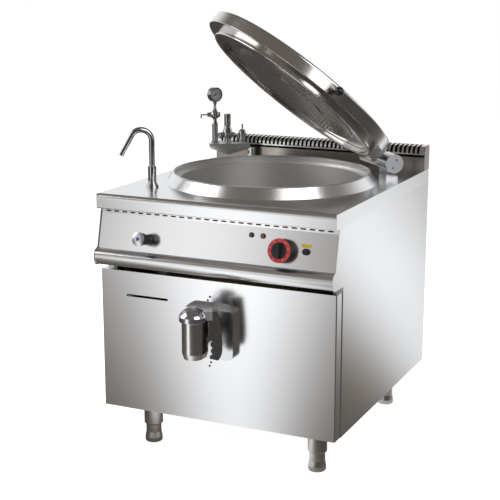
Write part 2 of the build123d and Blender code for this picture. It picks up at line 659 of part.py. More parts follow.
def drain_handle_arm():
    """Pressed steel arm from the cap out to the grip, open underneath."""
    z_lo, z_hi = HANDLE_ARM_Z
    corners = [(0, z_hi), (HANDLE_ARM_END, z_hi), (HANDLE_ARM_END, z_lo), (0, z_lo)]
    profile = make_face(Polyline(*corners, close=True))
    arm = extrude(handle_plane() * profile, HANDLE_ARM_W / 2, both=True)
    arm -= extrude(handle_plane() * (Pos(HANDLE_ARM_T, -HANDLE_ARM_T) * profile),
                   HANDLE_ARM_W / 2 - HANDLE_ARM_T, both=True)
    plane = handle_plane()
    at = plane.from_local_coords((HANDLE_ARM_END - 2 * ARM_SCREW_R, (z_lo + z_hi) / 2, HANDLE_ARM_W / 2))
    arm += extrude(Plane(origin=at, z_dir=plane.z_dir) * Circle(ARM_SCREW_R), 2)
    return arm - drain_plug()


def drain_handle_grip():
    """Moulded D-shaped grip hanging beside the tap, with finger hollows on its inner side."""
    z_lo, z_hi = HANDLE_ARM_Z
    tongue_top = z_hi - HANDLE_ARM_T - FACE_GAP
    top = GRIP_OUTER[-1]
    tongue = HANDLE_ARM_END + FACE_GAP
    edges = [Spline(*GRIP_OUTER), Polyline(top, (tongue, top[1]), (tongue, tongue_top), (44.0, tongue_top),
                                           *GRIP_INNER, GRIP_OUTER[0])]
    half_tongue = HANDLE_ARM_W / 2 - HANDLE_ARM_T - FACE_GAP
    grip = extrude(handle_plane() * make_face(edges), min(GRIP_THICK / 2, half_tongue), both=True)
    for height in GRIP_HOLLOWS:
        hollow = handle_plane() * (Pos(GRIP_HOLLOW_X, height) * Circle(GRIP_HOLLOW_R))
        grip -= extrude(hollow, GRIP_THICK, both=True)
    return grip


def cover_solid(inset):
    """The cover's form, all of its faces but the one on the panel moved in by the inset."""
    z_lo, z_hi = COVER_Z[0] + inset, COVER_Z[1] - inset
    half, front = COVER_W / 2 - inset, FRONT_Y - COVER_DEPTH + inset
    outline = [(-half, z_lo), (half, z_lo), (half, z_hi), (-half, z_hi)]
    low_r, top_r = COVER_LOW_R - inset, COVER_TOP_R - inset
    face = make_face(FilletPolyline(*outline, radius=[low_r, low_r, top_r, top_r], close=True))
    body = extrude(Plane(origin=(COVER_X, FRONT_Y, 0), x_dir=(1, 0, 0), z_dir=(0, -1, 0)) * face,
                   FRONT_Y - front)
    wedge = make_face(Polyline((FRONT_Y, z_hi), (front - 1, z_hi), (front - 1, z_hi - COVER_SLOPE),
                               close=True))
    plane = Plane(origin=(COVER_X - half - 1, 0, 0), x_dir=(0, 1, 0), z_dir=(1, 0, 0))
    return body - extrude(plane * wedge, 2 * half + 2)


def drain_cover():
    """Pressed cover round the outlet on the front panel."""
    front = FRONT_Y - COVER_DEPTH
    shell = cover_solid(0) - cover_solid(PANEL_T)
    return shell - rod(DRAIN_R, (DRAIN_X, front - 5, DRAIN_Z), (DRAIN_X, FRONT_Y, DRAIN_Z))


def drain_cover_screws():
    """Four small screws in the front panel above and below the cover."""
    shapes = []
    for (dx, dz), edge in zip(COVER_SCREWS, (COVER_Z[1], COVER_Z[1], COVER_Z[0], COVER_Z[0])):
        x, z = DRAIN_X + dx, edge + dz
        shapes.append(rod(COVER_SCREW_R, (x, FRONT_Y, z), (x, FRONT_Y - PANEL_T, z)))
    return Compound(children=shapes)


# ---------------------------------------------------------------- lid and hinge
def opened(shape):
    """A lid piece turned from shut to where it rests."""
    return shape.rotate(HINGE_AXIS, LID_REST)


def lid_shell():
    """Drum-shaped outer skin of the lid."""
    path = [(0, LID_TOP), (LID_R, LID_TOP), (LID_R, LID_SEAT), (SPIGOT_R + LID_T, LID_SEAT)]
    return opened(KETTLE * turned_sheet(path, [8, 2.5], LID_T, Side.RIGHT))


def lid_liner():
    """Stepped inner skin with the spigot that drops inside the lip."""
    top = LID_SEAT + LID_T
    outer, inner = 0.81 * SPIGOT_IN, 0.425 * SPIGOT_IN
    path = [(SPIGOT_R, top), (SPIGOT_R, SPIGOT_LOW), (SPIGOT_IN, SPIGOT_LOW), (SPIGOT_IN, LID_SEAT - 3),
            (outer, LID_SEAT - 5), (outer - 6, LID_SEAT - 9), (inner, LID_SEAT - 10),
            (inner - 6, LID_SEAT - 13), (0, LID_SEAT - 13)]
    radii = [3, 3, 4, 2, 2, 2, 2]
    return opened(KETTLE * turned_sheet(path, radii, LID_T, Side.LEFT))


def lid_arm():
    """Hinge shaft with its welded round arm along the lid's rim and two lugs to the drum."""
    arm = extrude(hinge_plane(ARM_TO) * (Pos(0, -ARM_DROP) * Circle(ARM_R)), ARM_TO - ARM_FROM)
    cheek = Circle(SHAFT_R + 5) + Pos(0, -ARM_DROP / 2) * Rectangle(2 * ARM_R - 6, ARM_DROP)
    arm += extrude(hinge_plane(ARM_FROM + 12) * cheek, 12)
    drum = opened(KETTLE * upright(LID_R, LID_SEAT, LID_TOP + 20))
    for s in LUGS:
        reach = HINGE_REACH - sqrt(LID_R ** 2 - s ** 2) + 6
        strip = make_face(Polyline((0, -20), (0, 2), (-reach, 12), (-reach, -10), close=True))
        lug = extrude(hinge_plane(s + LUG_T / 2) * strip, LUG_T)
        arm += opened(lug) - drum
    return arm + on_hinge(SHAFT_R, -HOUSING_BACK - HOUSING_L + 6, ARM_TO - 2)


def hinge_housing():
    """Barrel of the balanced hinge on its welded foot, with the bearing wall at the inner end."""
    s_in, s_out = -HOUSING_BACK, -HOUSING_BACK - HOUSING_L
    foot_face = Pos(0, PEDESTAL_H / 2 - HINGE_UP) * Rectangle(PEDESTAL_W, PEDESTAL_H)
    barrel = extrude(hinge_plane(s_in) * foot_face, HOUSING_L - PEDESTAL_BACK)
    barrel += on_hinge(HOUSING_R, s_out, s_in)
    barrel -= on_hinge(HOUSING_R - HOUSING_WALL, s_out - 1, s_in - 10)
    return barrel - on_hinge(SHAFT_R + RUNNING_FIT, s_out, s_in + 1)


def hinge_cap():
    """End cap with the two holes for the tensioning key."""
    s_out = -HOUSING_BACK - HOUSING_L
    cap = on_hinge(HOUSING_R, s_out - HINGE_CAP_T, s_out)
    cap += on_hinge(CAP_HOLE_OUT + CAP_HOLE_R + 1, s_out, s_out + 3)
    for angle in (62, 242):
        x, y = CAP_HOLE_OUT * cos(radians(angle)), CAP_HOLE_OUT * sin(radians(angle))
        hole = hinge_plane(s_out + 4) * (Pos(x, y) * Circle(CAP_HOLE_R))
        cap -= extrude(hole, HINGE_CAP_T + 5)
    return cap


def lid_knob_plane():
    """Plane on the lid's rim where the knob stands out, lid shut."""
    a = radians(LID_KNOB_BEARING)
    out = Vector(cos(a), sin(a), 0)
    return Plane(origin=Vector(0, KETTLE_Y, (LID_SEAT + LID_TOP) / 2), z_dir=out)


def lid_knob_stem():
    """Chrome stem of the lid's knob."""
    plane = lid_knob_plane()
    drum = KETTLE * upright(LID_R, LID_SEAT - 50, LID_TOP + 50)
    stem = extrude(plane * Circle(STEM_R), LID_R + LID_KNOB_OUT - 8) - drum
    foot = extrude(plane * Circle(STEM_R + 5), LID_R + 5) - drum
    return opened(largest(stem) + largest(foot))


def lid_knob():
    """Ball knob on the stem."""
    plane = lid_knob_plane()
    centre = plane.from_local_coords((0, 0, LID_R + LID_KNOB_OUT))
    ball = Pos(*centre) * Sphere(LID_KNOB_R)
    return opened(ball - extrude(plane * Circle(STEM_R), LID_R + LID_KNOB_OUT - 8))


# ---------------------------------------------------------------- water spout
def spout_base():
    """Fixed pillar of the swivel spout, through the worktop."""
    low = WORKTOP_Z - SPOUT_TAIL
    base = upright(19.5, WORKTOP_Z, WORKTOP_Z + 6, SPOUT_X, SPOUT_Y)
    base += upright(16.5, WORKTOP_Z + 6, WORKTOP_Z + 12, SPOUT_X, SPOUT_Y)
    base += upright(SPOUT_COLLAR_R, low, SPOUT_COLLAR_TOP, SPOUT_X, SPOUT_Y)
    socket = SPOUT_R + RUNNING_FIT
    base -= upright(socket, SPOUT_COLLAR_TOP - SPOUT_SOCKET, SPOUT_COLLAR_TOP + 1, SPOUT_X, SPOUT_Y)
    return base - upright(SPOUT_R - SPOUT_WALL, low - 1, SPOUT_COLLAR_TOP, SPOUT_X, SPOUT_Y)


def spout_pipe():
    """Swivelling bent pipe."""
    a = radians(SPOUT_BEARING)
    turn = radians(SPOUT_BEND)
    out = Vector(cos(a), sin(a), 0)
    low = Vector(SPOUT_X, SPOUT_Y, SPOUT_COLLAR_TOP - SPOUT_SOCKET + FACE_GAP)
    top = Vector(SPOUT_X, SPOUT_Y, WORKTOP_Z + SPOUT_RISE)
    crown = top + out * (SPOUT_BEND_R * (1 - cos(turn / 2))) + Vector(0, 0, SPOUT_BEND_R * sin(turn / 2))
    arc_end = top + out * (SPOUT_BEND_R * (1 - cos(turn))) + Vector(0, 0, SPOUT_BEND_R * sin(turn))
    tip = arc_end + (out * sin(turn) + Vector(0, 0, cos(turn))) * SPOUT_END
    path = Wire([Edge.make_line(low, top), Edge.make_three_point_arc(top, crown, arc_end),
                 Edge.make_line(arc_end, tip)])
    start = Plane(origin=low, z_dir=(0, 0, 1))
    section = Circle(SPOUT_R) - Circle(SPOUT_R - SPOUT_WALL)
    return sweep(start * section, path=path)


# ---------------------------------------------------------------- steam fittings at the back
def steam_header():
    """Welded header box with a keel-shaped underside on the pipe that feeds it."""
    half = HEADER_L / 2
    low_end, low_mid = HEADER_TOP - HEADER_END_H, HEADER_TOP - HEADER_KEEL_H
    outline = [(-half, HEADER_TOP), (half, HEADER_TOP), (half, low_end), (HEADER_KEEL_T, low_mid),
               (-half, low_end)]
    face = make_face(FilletPolyline(*outline, radius=[2, 2, 3, 1.5, 3], close=True))
    a = radians(HEADER_ANGLE)
    plane = Plane(origin=(HEADER_X, HEADER_Y, 0), x_dir=(cos(a), sin(a), 0), z_dir=(sin(a), -cos(a), 0))
    box = extrude(plane * face, HEADER_DEPTH / 2, both=True)
    return box + steam_riser()


def steam_riser():
    """Pipe from the jacket up through the worktop into the header's end."""
    x, y = header_point(POST_T)
    pipe = upright(POST_R, POST_LOW_Z, HEADER_TOP - HEADER_END_H, x, y)
    pipe += Pos(x, y, POST_LOW_Z) * Sphere(POST_R)
    pipe += rod(POST_R, (x, y, POST_LOW_Z), (0, KETTLE_Y, POST_LOW_Z))
    pipe += upright(POST_R + 5, WORKTOP_Z, WORKTOP_Z + 4, x, y)
    return largest(pipe - KETTLE * upright(JACKET_R + JACKET_T, VESSEL_FLOOR, LID_SEAT))


def gauge_riser():
    """Stand pipe from the header to the gauge cock."""
    x, y = header_point(GAUGE_T)
    z = HEADER_TOP
    shoulder = COCK_Z - 2 * COCK_R
    pipe = turned([(0, z), (14, z), (14, z + 4), (STAND_R, z + 6), (STAND_R, shoulder),
                   (6.5, shoulder + 13), (6.5, COCK_Z), (0, COCK_Z)])
    return Pos(x, y, 0) * pipe


def cock_plane(offset_out=0.0):
    """Plane square to the cock's spindle, which points along the header to the left."""
    x, y = header_point(GAUGE_T)
    a = radians(HEADER_ANGLE)
    out = Vector(-cos(a), -sin(a), 0)
    return Plane(origin=Vector(x, y, COCK_Z) + out * offset_out, x_dir=(0, 0, 1), z_dir=out)


def gauge_cock_body():
    """Stand pipe, ball-shaped cock body with a cross boss, and the stem up to the gauge."""
    x, y = header_point(GAUGE_T)
    body = Pos(x, y, COCK_Z) * Sphere(COCK_R)
    body += extrude(cock_plane(-COCK_R - 3) * Circle(9), 2 * COCK_R + 6)
    drum_low = GAUGE_Z - GAUGE_R
    stem = turned([(0, COCK_Z), (7, COCK_Z), (7, COCK_Z + COCK_R + 4), (5, drum_low - 14),
                   (5, drum_low - 8), (7, drum_low - 6), (7, drum_low + 3), (0, drum_low + 3)])
    body += Pos(x, y, 0) * stem
    body += gauge_riser()
    body -= extrude(cock_plane(6) * Circle(5 + RUNNING_FIT), 20)
    return body - gauge_drum()


def gauge_cock_lever():
    """Spindle and short cranked lever of the gauge cock."""
    face = COCK_R + 3 + FACE_GAP
    spindle = extrude(cock_plane(6 + FACE_GAP) * Circle(5), face)
    hub = extrude(cock_plane(face) * Circle(8), 8)
    near, far = cock_plane(face + 4), cock_plane(LEVER_REACH)
    low = far.origin + Vector(0, 0, -9)
    crank = rod(2.5, near.origin, far.origin) + rod(2.5, far.origin, low)
    return spindle + hub + crank + Pos(*far.origin) * Sphere(2.5) + Pos(*low) * Sphere(3.5)


def gauge_plane(out=0.0):
    """Plane on the gauge's middle, local Z out of its dial."""
    x, y = header_point(GAUGE_T)
    a = radians(GAUGE_BEARING)
    normal = Vector(cos(a), sin(a), 0)
    return Plane(origin=Vector(x, y, GAUGE_Z) + normal * out, x_dir=(-sin(a), cos(a), 0), z_dir=normal)


def gauge_drum():
    """Outer form of the gauge."""
    return extrude(gauge_plane(-GAUGE_FACE) * Circle(GAUGE_R), GAUGE_DEPTH)


def gauge_case():
    """Gauge case, open at the front."""
    return gauge_drum() - extrude(gauge_plane(GAUGE_FACE - 8) * Circle(GAUGE_R - GAUGE_RIM), 10)


def gauge_dial():
    """Dial plate at the bottom of the case."""
    return extrude(gauge_plane(GAUGE_FACE - 8) * Circle(GAUGE_R - GAUGE_RIM), 1)


def gauge_needle():
    """Pointer just above the dial."""
    hub = extrude(gauge_plane(GAUGE_FACE - 7 + FACE_GAP) * Circle(3), 2)
    pointer = Rot(0, 0, 40) * (Pos(6, 0) * Rectangle(20, 2))
    return hub + extrude(gauge_plane(GAUGE_FACE - 6.5) * pointer, 1)


def gauge_glass():
    """Glass pressed into the rim."""
    return extrude(gauge_plane(GAUGE_FACE - 2.5) * Circle(GAUGE_R - GAUGE_RIM), 2)


def safety_valve_body():
    """Spring-loaded safety valve: neck, round body, conical bonnet and a side discharge."""
    x, y = header_point(SAFETY_T)
    z = HEADER_TOP
    body = turned([(0, z), (13, z), (13, z + 10), (11, z + 13), (11, z + 18), (16, z + 22), (19, z + 29),
                   (19, z + 39), (16.5, z + 46), (12, z + VALVE_H), (5, z + VALVE_H), (0, z + VALVE_H)])
    a = radians(HEADER_ANGLE)
    left = Vector(-cos(a), -sin(a), 0)
    middle = Vector(x, y, z + 30)
    elbow = middle + left * 22
    body = Pos(x, y, 0) * body
    body += rod(6.5, middle, elbow) + Pos(*elbow) * Sphere(6.5)
    body += rod(6.5, elbow, elbow + left * 5 + Vector(0, 0, -14))
    body += rod(8, middle, middle - left * 26)
    return body - upright(5 + RUNNING_FIT, z + VALVE_H - 16, z + VALVE_H + 4, x, y)


def safety_valve_cap():
    """Lifting cap of the safety valve, pulled up to test it."""
    x, y = header_point(SAFETY_T)
    z = HEADER_TOP + VALVE_H + FACE_GAP
    cap = turned([(0, z), (11, z), (12, z + 3), (12, z + 41), (11, z + 43), (0, z + 43)])
    return Pos(x, y, 0) * cap + upright(5, z - 14, z + 1, x, y)


def vent_valve_body():
    """Vacuum breaker with a domed cap."""
    x, y = header_point(VENT_T)
    z = HEADER_TOP
    body = turned([(0, z), (11, z), (11, z + 6), (15, z + 9), (15, z + 36), (13, z + 43), (8, z + 48),
                   (0, z + 49)])
    return Pos(x, y, 0) * body - upright(3 + RUNNING_FIT, z + 25, z + 50, x, y)


def vent_valve_pin():
    """Pin of the vacuum breaker, pressed down to let air in."""
    x, y = header_point(VENT_T)
    return upright(3, HEADER_TOP + 33, HEADER_TOP + 68, x, y)


# ---------------------------------------------------------------- flue at the back
def flue_riser():
    """Upstand across the back of the worktop with the cheeks that close its ends."""
    base_top = WORKTOP_Z + FLUE_BASE_H
    top = base_top + GRILLE_H
    riser = block((-INNER_X, INNER_X), (FLUE_FRONT, FLUE_FRONT + PANEL_T), (WORKTOP_Z, base_top - FLUE_GAP))
    riser += block((-INNER_X, INNER_X), (CABINET_BACK - PANEL_T, CABINET_BACK), (WORKTOP_Z, base_top))
    path = [(FLUE_FRONT, WORKTOP_Z), (FLUE_FRONT, top - 20), (FLUE_FRONT + 14, top),
            (CABINET_BACK, top), (CABINET_BACK, WORKTOP_Z)]
    for x in (-HALF_W, INNER_X):
        riser += side_plate(path, [1, 6, 6, 1, 1], x, PANEL_T)
    return riser


def flue_grille():
    """Louvred cover over the flue: a curved sheet cut by a row of slots."""
    base = WORKTOP_Z + FLUE_BASE_H
    top = base + GRILLE_H
    path = [(FLUE_FRONT, base), (FLUE_FRONT, top - 4), (CABINET_BACK, top), (CABINET_BACK, base)]
    cover = folded_sheet(path, [20, 2], PANEL_T, -INNER_X, INNER_X, Side.RIGHT)
    slot = block((-GRILLE_SLOT_W / 2, GRILLE_SLOT_W / 2), (FLUE_FRONT - 5, CABINET_BACK - 6),
                 (base + 5, top + 5))
    middle = (GRILLE_SLOTS - 1) / 2
    return cover.cut(*[Pos((i - middle) * GRILLE_PITCH, 0, 0) * slot for i in range(GRILLE_SLOTS)])


# ---------------------------------------------------------------- controls
def thermostat_knob():
    """Black knob: skirt and a raised finger bar."""
    knob = on_fascia(THERMO_X, THERMO_Z, THERMO_R, 1.0, THERMO_DEPTH)
    knob += on_fascia(THERMO_X, THERMO_Z, THERMO_FACE_R, THERMO_DEPTH, THERMO_DEPTH + 3.5)
    bar = fascia_plane(THERMO_X, THERMO_Z, THERMO_DEPTH + 1.5) * RectangleRounded(11, 46, 4)
    knob += extrude(bar, 16)
    return knob + on_fascia(THERMO_X, THERMO_Z, 4.5, -14, 1.0)


def thermostat_scale():
    """Red scale ring on the knob's face."""
    ring = on_fascia(THERMO_X, THERMO_Z, THERMO_R, THERMO_DEPTH, THERMO_DEPTH + 2)
    return ring - on_fascia(THERMO_X, THERMO_Z, THERMO_FACE_R, THERMO_DEPTH - 1, THERMO_DEPTH + 3)


def thermostat_body():
    """Thermostat behind the fascia."""
    plane = fascia_plane(THERMO_X, THERMO_Z, -PANEL_T)
    body = extrude(plane * RectangleRounded(44, 44, 4), -34)
    return body - on_fascia(THERMO_X, THERMO_Z, 4.5 + RUNNING_FIT, -16, 1)


def pilot_lamp(x):
    """Pilot lamp: domed lens over its holder."""
    low, rise, dome_r = 2.5, 2.6, 14.0
    lens = on_fascia(x, LAMP_Z, LAMP_R, 0, low)
    centre = fascia_plane(x, LAMP_Z, low + rise - dome_r).origin
    lens += (Pos(*centre) * Sphere(dome_r)) & on_fascia(x, LAMP_Z, LAMP_R, low - 0.5, low + 2 * rise)
    return lens + on_fascia(x, LAMP_Z, LAMP_R - 2, -26, 0)


def reset_bezel():
    """Threaded ring of the safety cut-out's reset."""
    ring = extrude(fascia_plane(RESET_X, RESET_Z) * RegularPolygon(11, 6), 6)
    ring += on_fascia(RESET_X, RESET_Z, 6.5, -24, 0)
    return ring - on_fascia(RESET_X, RESET_Z, 4 + RUNNING_FIT, -16, 7)


def reset_button():
    """Reset button inside its ring."""
    button = on_fascia(RESET_X, RESET_Z, 4, -12, 8.5)
    return button + on_fascia(RESET_X, RESET_Z, 8, 8.5, 14)


def water_knob():
    """Chrome tap head with a domed end."""
    knob = on_fascia(WATER_X, WATER_Z, 15, 9, 16)
    knob += extrude(fascia_plane(WATER_X, WATER_Z, 16) * Circle(19), 40, taper=-3.5)
    return knob + on_fascia(WATER_X, WATER_Z, 5, -20, 9)


def water_valve_body():
    """Valve behind the fascia with its nose through the panel."""
    body = on_fascia(WATER_X, WATER_Z, 17, -40, -PANEL_T)
    body += on_fascia(WATER_X, WATER_Z, 11, -PANEL_T, 0)
    body += on_fascia(WATER_X, WATER_Z, 17, 0, 3) + on_fascia(WATER_X, WATER_Z, 13, 3, 8.5)
    return body - on_fascia(WATER_X, WATER_Z, 5 + RUNNING_FIT, -22, 9)


def water_pipes():
    """Cold water pipe from the inlet at the back to the valve, and from it to the spout."""
    mid = fascia_plane(WATER_X, WATER_Z, -28).origin
    y_out = CABINET_BACK + INLET_PROUD
    y_front, z_valve = SIDE_FRONT + FRAME_LEG + 4.5, WATER_Z - 17
    run = [(INLET_X, y_out, INLET_Z), (INLET_X, y_front, INLET_Z), (INLET_X, y_front, z_valve),
           (WATER_X, y_front, z_valve), (WATER_X, mid.Y, z_valve)]
    supply = bent_tube(PIPE_R, run, PIPE_BEND)
    riser = [mid, (mid.X, mid.Y, mid.Z + 45), (SPOUT_X, SPOUT_Y, mid.Z + 45),
             (SPOUT_X, SPOUT_Y, WORKTOP_Z - SPOUT_TAIL)]
    feed = bent_tube(PIPE_R, riser, PIPE_BEND)
    valve = on_fascia(WATER_X, WATER_Z, 17, -45, 0)
    supply += rod(INLET_R, (INLET_X, CABINET_BACK, INLET_Z), (INLET_X, y_out, INLET_Z))
    supply -= rod(PIPE_R - 1, (INLET_X, CABINET_BACK - 30, INLET_Z), (INLET_X, y_out + 1, INLET_Z))
    return Compound(children=[largest(supply - valve), largest(feed - valve)])


# ---------------------------------------------------------------- jacket level tap
def level_tap_body():
    """Tap on the jacket for checking its water level, behind the slot."""
    body = upright(13, LEVEL_PIPE_Z - 16, SLOT_Z - 3, SLOT_X, LEVEL_PIVOT_Y)
    run = Vector(-SLOT_X, KETTLE_Y - LEVEL_PIVOT_Y, 0).normalized()
    body += rod(LEVEL_PIPE_R, (SLOT_X, LEVEL_PIVOT_Y, LEVEL_PIPE_Z), (0, KETTLE_Y, LEVEL_PIPE_Z))
    body += upright(LEVEL_PIPE_R, TRAY_TOP + 40, LEVEL_PIPE_Z - 16, SLOT_X, LEVEL_PIVOT_Y)
    body = largest(body - KETTLE * upright(JACKET_R + JACKET_T, TRAY_TOP, LID_SEAT))
    return body - upright(5 + RUNNING_FIT, LEVEL_PIPE_Z, SLOT_Z, SLOT_X, LEVEL_PIVOT_Y)


def level_tap_lever():
    """Flat lever of the level tap, its tip out through the slot."""
    a = radians(-90 - LEVEL_SWING)
    plane = Plane(origin=(SLOT_X, LEVEL_PIVOT_Y, SLOT_Z - 3 + FACE_GAP), x_dir=(cos(a), sin(a), 0),
                  z_dir=(0, 0, 1))
    strip = Circle(11) + Pos(LEVEL_REACH / 2 - 3, 0) * Rectangle(LEVEL_REACH - 6, 9)
    strip += Pos(LEVEL_REACH - 7, 0) * Circle(7)
    lever = extrude(plane * strip, 4)
    return lever + upright(5, LEVEL_PIPE_Z + 2, SLOT_Z - 2, SLOT_X, LEVEL_PIVOT_Y)


# ---------------------------------------------------------------- feet and services
def foot_places():
    """Plan places of the four feet, by name."""
    return {"front_left": (-FOOT_X, FOOT_FRONT_Y), "front_right": (FOOT_X, FOOT_FRONT_Y),
            "back_left": (-FOOT_X, FOOT_BACK_Y), "back_right": (FOOT_X, FOOT_BACK_Y)}


def foot_sleeves():
    """Four sleeves under the tray, chamfered at their lower ends."""
    low = TRAY_Z - SLEEVE_H
    bore = FOOT_R + FOOT_FIT
    section = [(0, TRAY_Z), (SLEEVE_R, TRAY_Z), (SLEEVE_R, low + SLEEVE_CHAMFER), (bore + 0.6, low),
               (bore, low), (bore, TRAY_Z - 4), (0, TRAY_Z - 4)]
    sleeve = turned(section)
    return Compound(children=[Pos(x, y, 0) * sleeve for x, y in foot_places().values()])


def foot(x, y):
    """Adjustable foot: a stem in the sleeve, waisted below it, over a flared pad."""
    top = TRAY_Z - 4 - FACE_GAP
    low = TRAY_Z - SLEEVE_H
    wall = 4.0
    stem = turned([(0, 0), (FOOT_PAD_R - 4, 0), (FOOT_PAD_R - 1, 2), (FOOT_PAD_R, 6), (FOOT_PAD_R, 16),
                   (FOOT_WAIST_R, 34), (FOOT_WAIST_R, low - 2), (FOOT_R, low + 6), (FOOT_R, top),
                   (FOOT_R - wall, top), (FOOT_R - wall, 20), (0, 20)])
    return Pos(x, y, 0) * stem


def cable_gland():
    """Gland for the supply cable in the back panel."""
    y = CABINET_BACK
    gland = rod(GLAND_R, (GLAND_X, y - 14, GLAND_Z), (GLAND_X, y + 4, GLAND_Z))
    nut = Plane(origin=(GLAND_X, y, GLAND_Z), z_dir=(0, 1, 0)) * RegularPolygon(GLAND_R + 5, 6)
    gland += extrude(nut, 7)
    gland += rod(GLAND_R + 1, (GLAND_X, y + 7, GLAND_Z), (GLAND_X, y + 20, GLAND_Z))
    return gland - rod(GLAND_BORE, (GLAND_X, y - 20, GLAND_Z), (GLAND_X, y + 30, GLAND_Z))


def build_all():
    """Every node by name."""
    parts = {
        "worktop": worktop(),
        "side_panels": side_panels(),
        "back_panel": back_panel(),
        "base_tray": base_tray(),
        "inner_frame": inner_frame(),
        "front_panel": front_panel(),
        "control_panel": control_panel(),
        "bumper_rail": bumper_rail(),
        "fascia_end_caps": fascia_end_caps(),
        "flue_riser": flue_riser(),
        "flue_grille": flue_grille(),
        "inner_vessel": inner_vessel(),
        "jacket_shell": jacket_shell(),
        "lagging": lagging(),
        "heating_elements": heating_elements(),
        "drain_pipe": drain_pipe(),
        "drain_cover": drain_cover(),
        "drain_cover_screws": drain_cover_screws(),
        "drain_tap_body": drain_tap_body(),
        "drain_plug": drain_plug(),
        "drain_handle_arm": drain_handle_arm(),
        "drain_handle_grip": drain_handle_grip(),
        "lid_shell": lid_shell(),
        "lid_liner": lid_liner(),
        "lid_arm": lid_arm(),
        "lid_knob_stem": lid_knob_stem(),
        "lid_knob": lid_knob(),
        "hinge_housing": hinge_housing(),
        "hinge_cap": hinge_cap(),
        "spout_base": spout_base(),
        "spout_pipe": spout_pipe(),
        "steam_header": steam_header(),
        "gauge_cock_body": gauge_cock_body(),
        "gauge_cock_lever": gauge_cock_lever(),
        "gauge_case": gauge_case(),
        "gauge_dial": gauge_dial(),
        "gauge_needle": gauge_needle(),
        "gauge_glass": gauge_glass(),
        "safety_valve_body": safety_valve_body(),
        "safety_valve_cap": safety_valve_cap(),
        "vent_valve_body": vent_valve_body(),
        "vent_valve_pin": vent_valve_pin(),
        "thermostat_knob": thermostat_knob(),
        "thermostat_scale": thermostat_scale(),
        "thermostat_body": thermostat_body(),
        "pilot_lamp_green": pilot_lamp(LAMP_GREEN_X),
        "pilot_lamp_amber": pilot_lamp(LAMP_AMBER_X),
        "reset_bezel": reset_bezel(),
        "reset_button": reset_button(),
        "water_knob": water_knob(),
        "water_valve_body": water_valve_body(),
        "water_pipes": water_pipes(),
        "level_tap_body": level_tap_body(),
        "level_tap_lever": level_tap_lever(),
        "foot_sleeves": foot_sleeves(),
        "cable_gland": cable_gland(),
    }
    for name, (x, y) in foot_places().items():
        parts["foot_" + name] = foot(x, y)
    return parts


os.makedirs("parts", exist_ok=True)
for node, shape in build_all().items():
    export_step(shape, os.path.join("parts", node + ".step"))
    print(node, len(shape.solids()), round(shape.volume))
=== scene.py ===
"""Looks of a steam jacketed kettle: finishes for the solids and the small pieces that dress them."""

import logging
import math
from dataclasses import dataclass
from enum import Enum
from typing import Callable, Iterable, Sequence, Union

import bmesh
import bpy
from mathutils import Matrix, Vector


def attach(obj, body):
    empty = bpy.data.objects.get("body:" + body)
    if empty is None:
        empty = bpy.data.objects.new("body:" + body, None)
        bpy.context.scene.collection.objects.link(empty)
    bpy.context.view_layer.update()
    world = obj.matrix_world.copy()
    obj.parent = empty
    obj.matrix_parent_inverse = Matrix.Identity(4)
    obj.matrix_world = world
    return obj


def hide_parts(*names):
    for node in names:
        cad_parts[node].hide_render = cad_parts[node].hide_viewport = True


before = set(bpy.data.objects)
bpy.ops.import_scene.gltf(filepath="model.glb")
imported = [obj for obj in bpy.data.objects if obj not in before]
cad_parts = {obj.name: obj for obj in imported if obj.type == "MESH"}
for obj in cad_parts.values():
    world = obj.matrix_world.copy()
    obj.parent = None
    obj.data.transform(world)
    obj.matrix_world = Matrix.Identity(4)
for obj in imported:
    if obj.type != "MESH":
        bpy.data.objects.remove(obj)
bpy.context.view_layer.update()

log = logging.getLogger("kettle")
Colour = tuple[float, float, float]
Number = Union[int, float]
Point = tuple[float, float, float]
MM = 0.001
SHARP_ANGLE = math.radians(32)
FIGURE_RELIEF = 0.06 * MM


# ---------------- shader graphs
class Port:
    """Output socket of a node, with arithmetic that adds Math nodes."""

    def __init__(self, graph: "Graph", socket: bpy.types.NodeSocket) -> None:
        """Keeps the graph and its socket."""
        self.graph = graph
        self.socket = socket

    def math(self, operation: str, *others: "Port | Number") -> "Port":
        """Adds one Math node.

        Args:
            operation: Blender's name of the operation.
            others: the second and third operands.
        Returns:
            The node's output.
        """
        return self.graph.value(operation, self, *others)

    def __add__(self, other: "Port | Number") -> "Port":
        """self + other."""
        return self.math("ADD", other)

    def __radd__(self, other: Number) -> "Port":
        """other + self."""
        return self.math("ADD", other)

    def __sub__(self, other: "Port | Number") -> "Port":
        """self - other."""
        return self.math("SUBTRACT", other)

    def __rsub__(self, other: Number) -> "Port":
        """other - self."""
        return self.graph.value("SUBTRACT", other, self)

    def __mul__(self, other: "Port | Number") -> "Port":
        """self * other."""
        return self.math("MULTIPLY", other)

    def __truediv__(self, other: "Port | Number") -> "Port":
        """self / other."""
        return self.math("DIVIDE", other)

    def ramp(self, low: float, high: float, out_low: float = 0.0, out_high: float = 1.0) -> "Port":
        """Maps low..high smoothly to out_low..out_high, clamped.

        Args:
            low: value that gives out_low.
            high: value that gives out_high.
            out_low: result at and below low.
            out_high: result at and above high.
        Returns:
            The mapped value.
        """
        return self.graph.node("MapRange", {"interpolation_type": "SMOOTHSTEP"},
                               {"Value": self, "From Min": low, "From Max": high, "To Min": out_low,
                                "To Max": out_high})


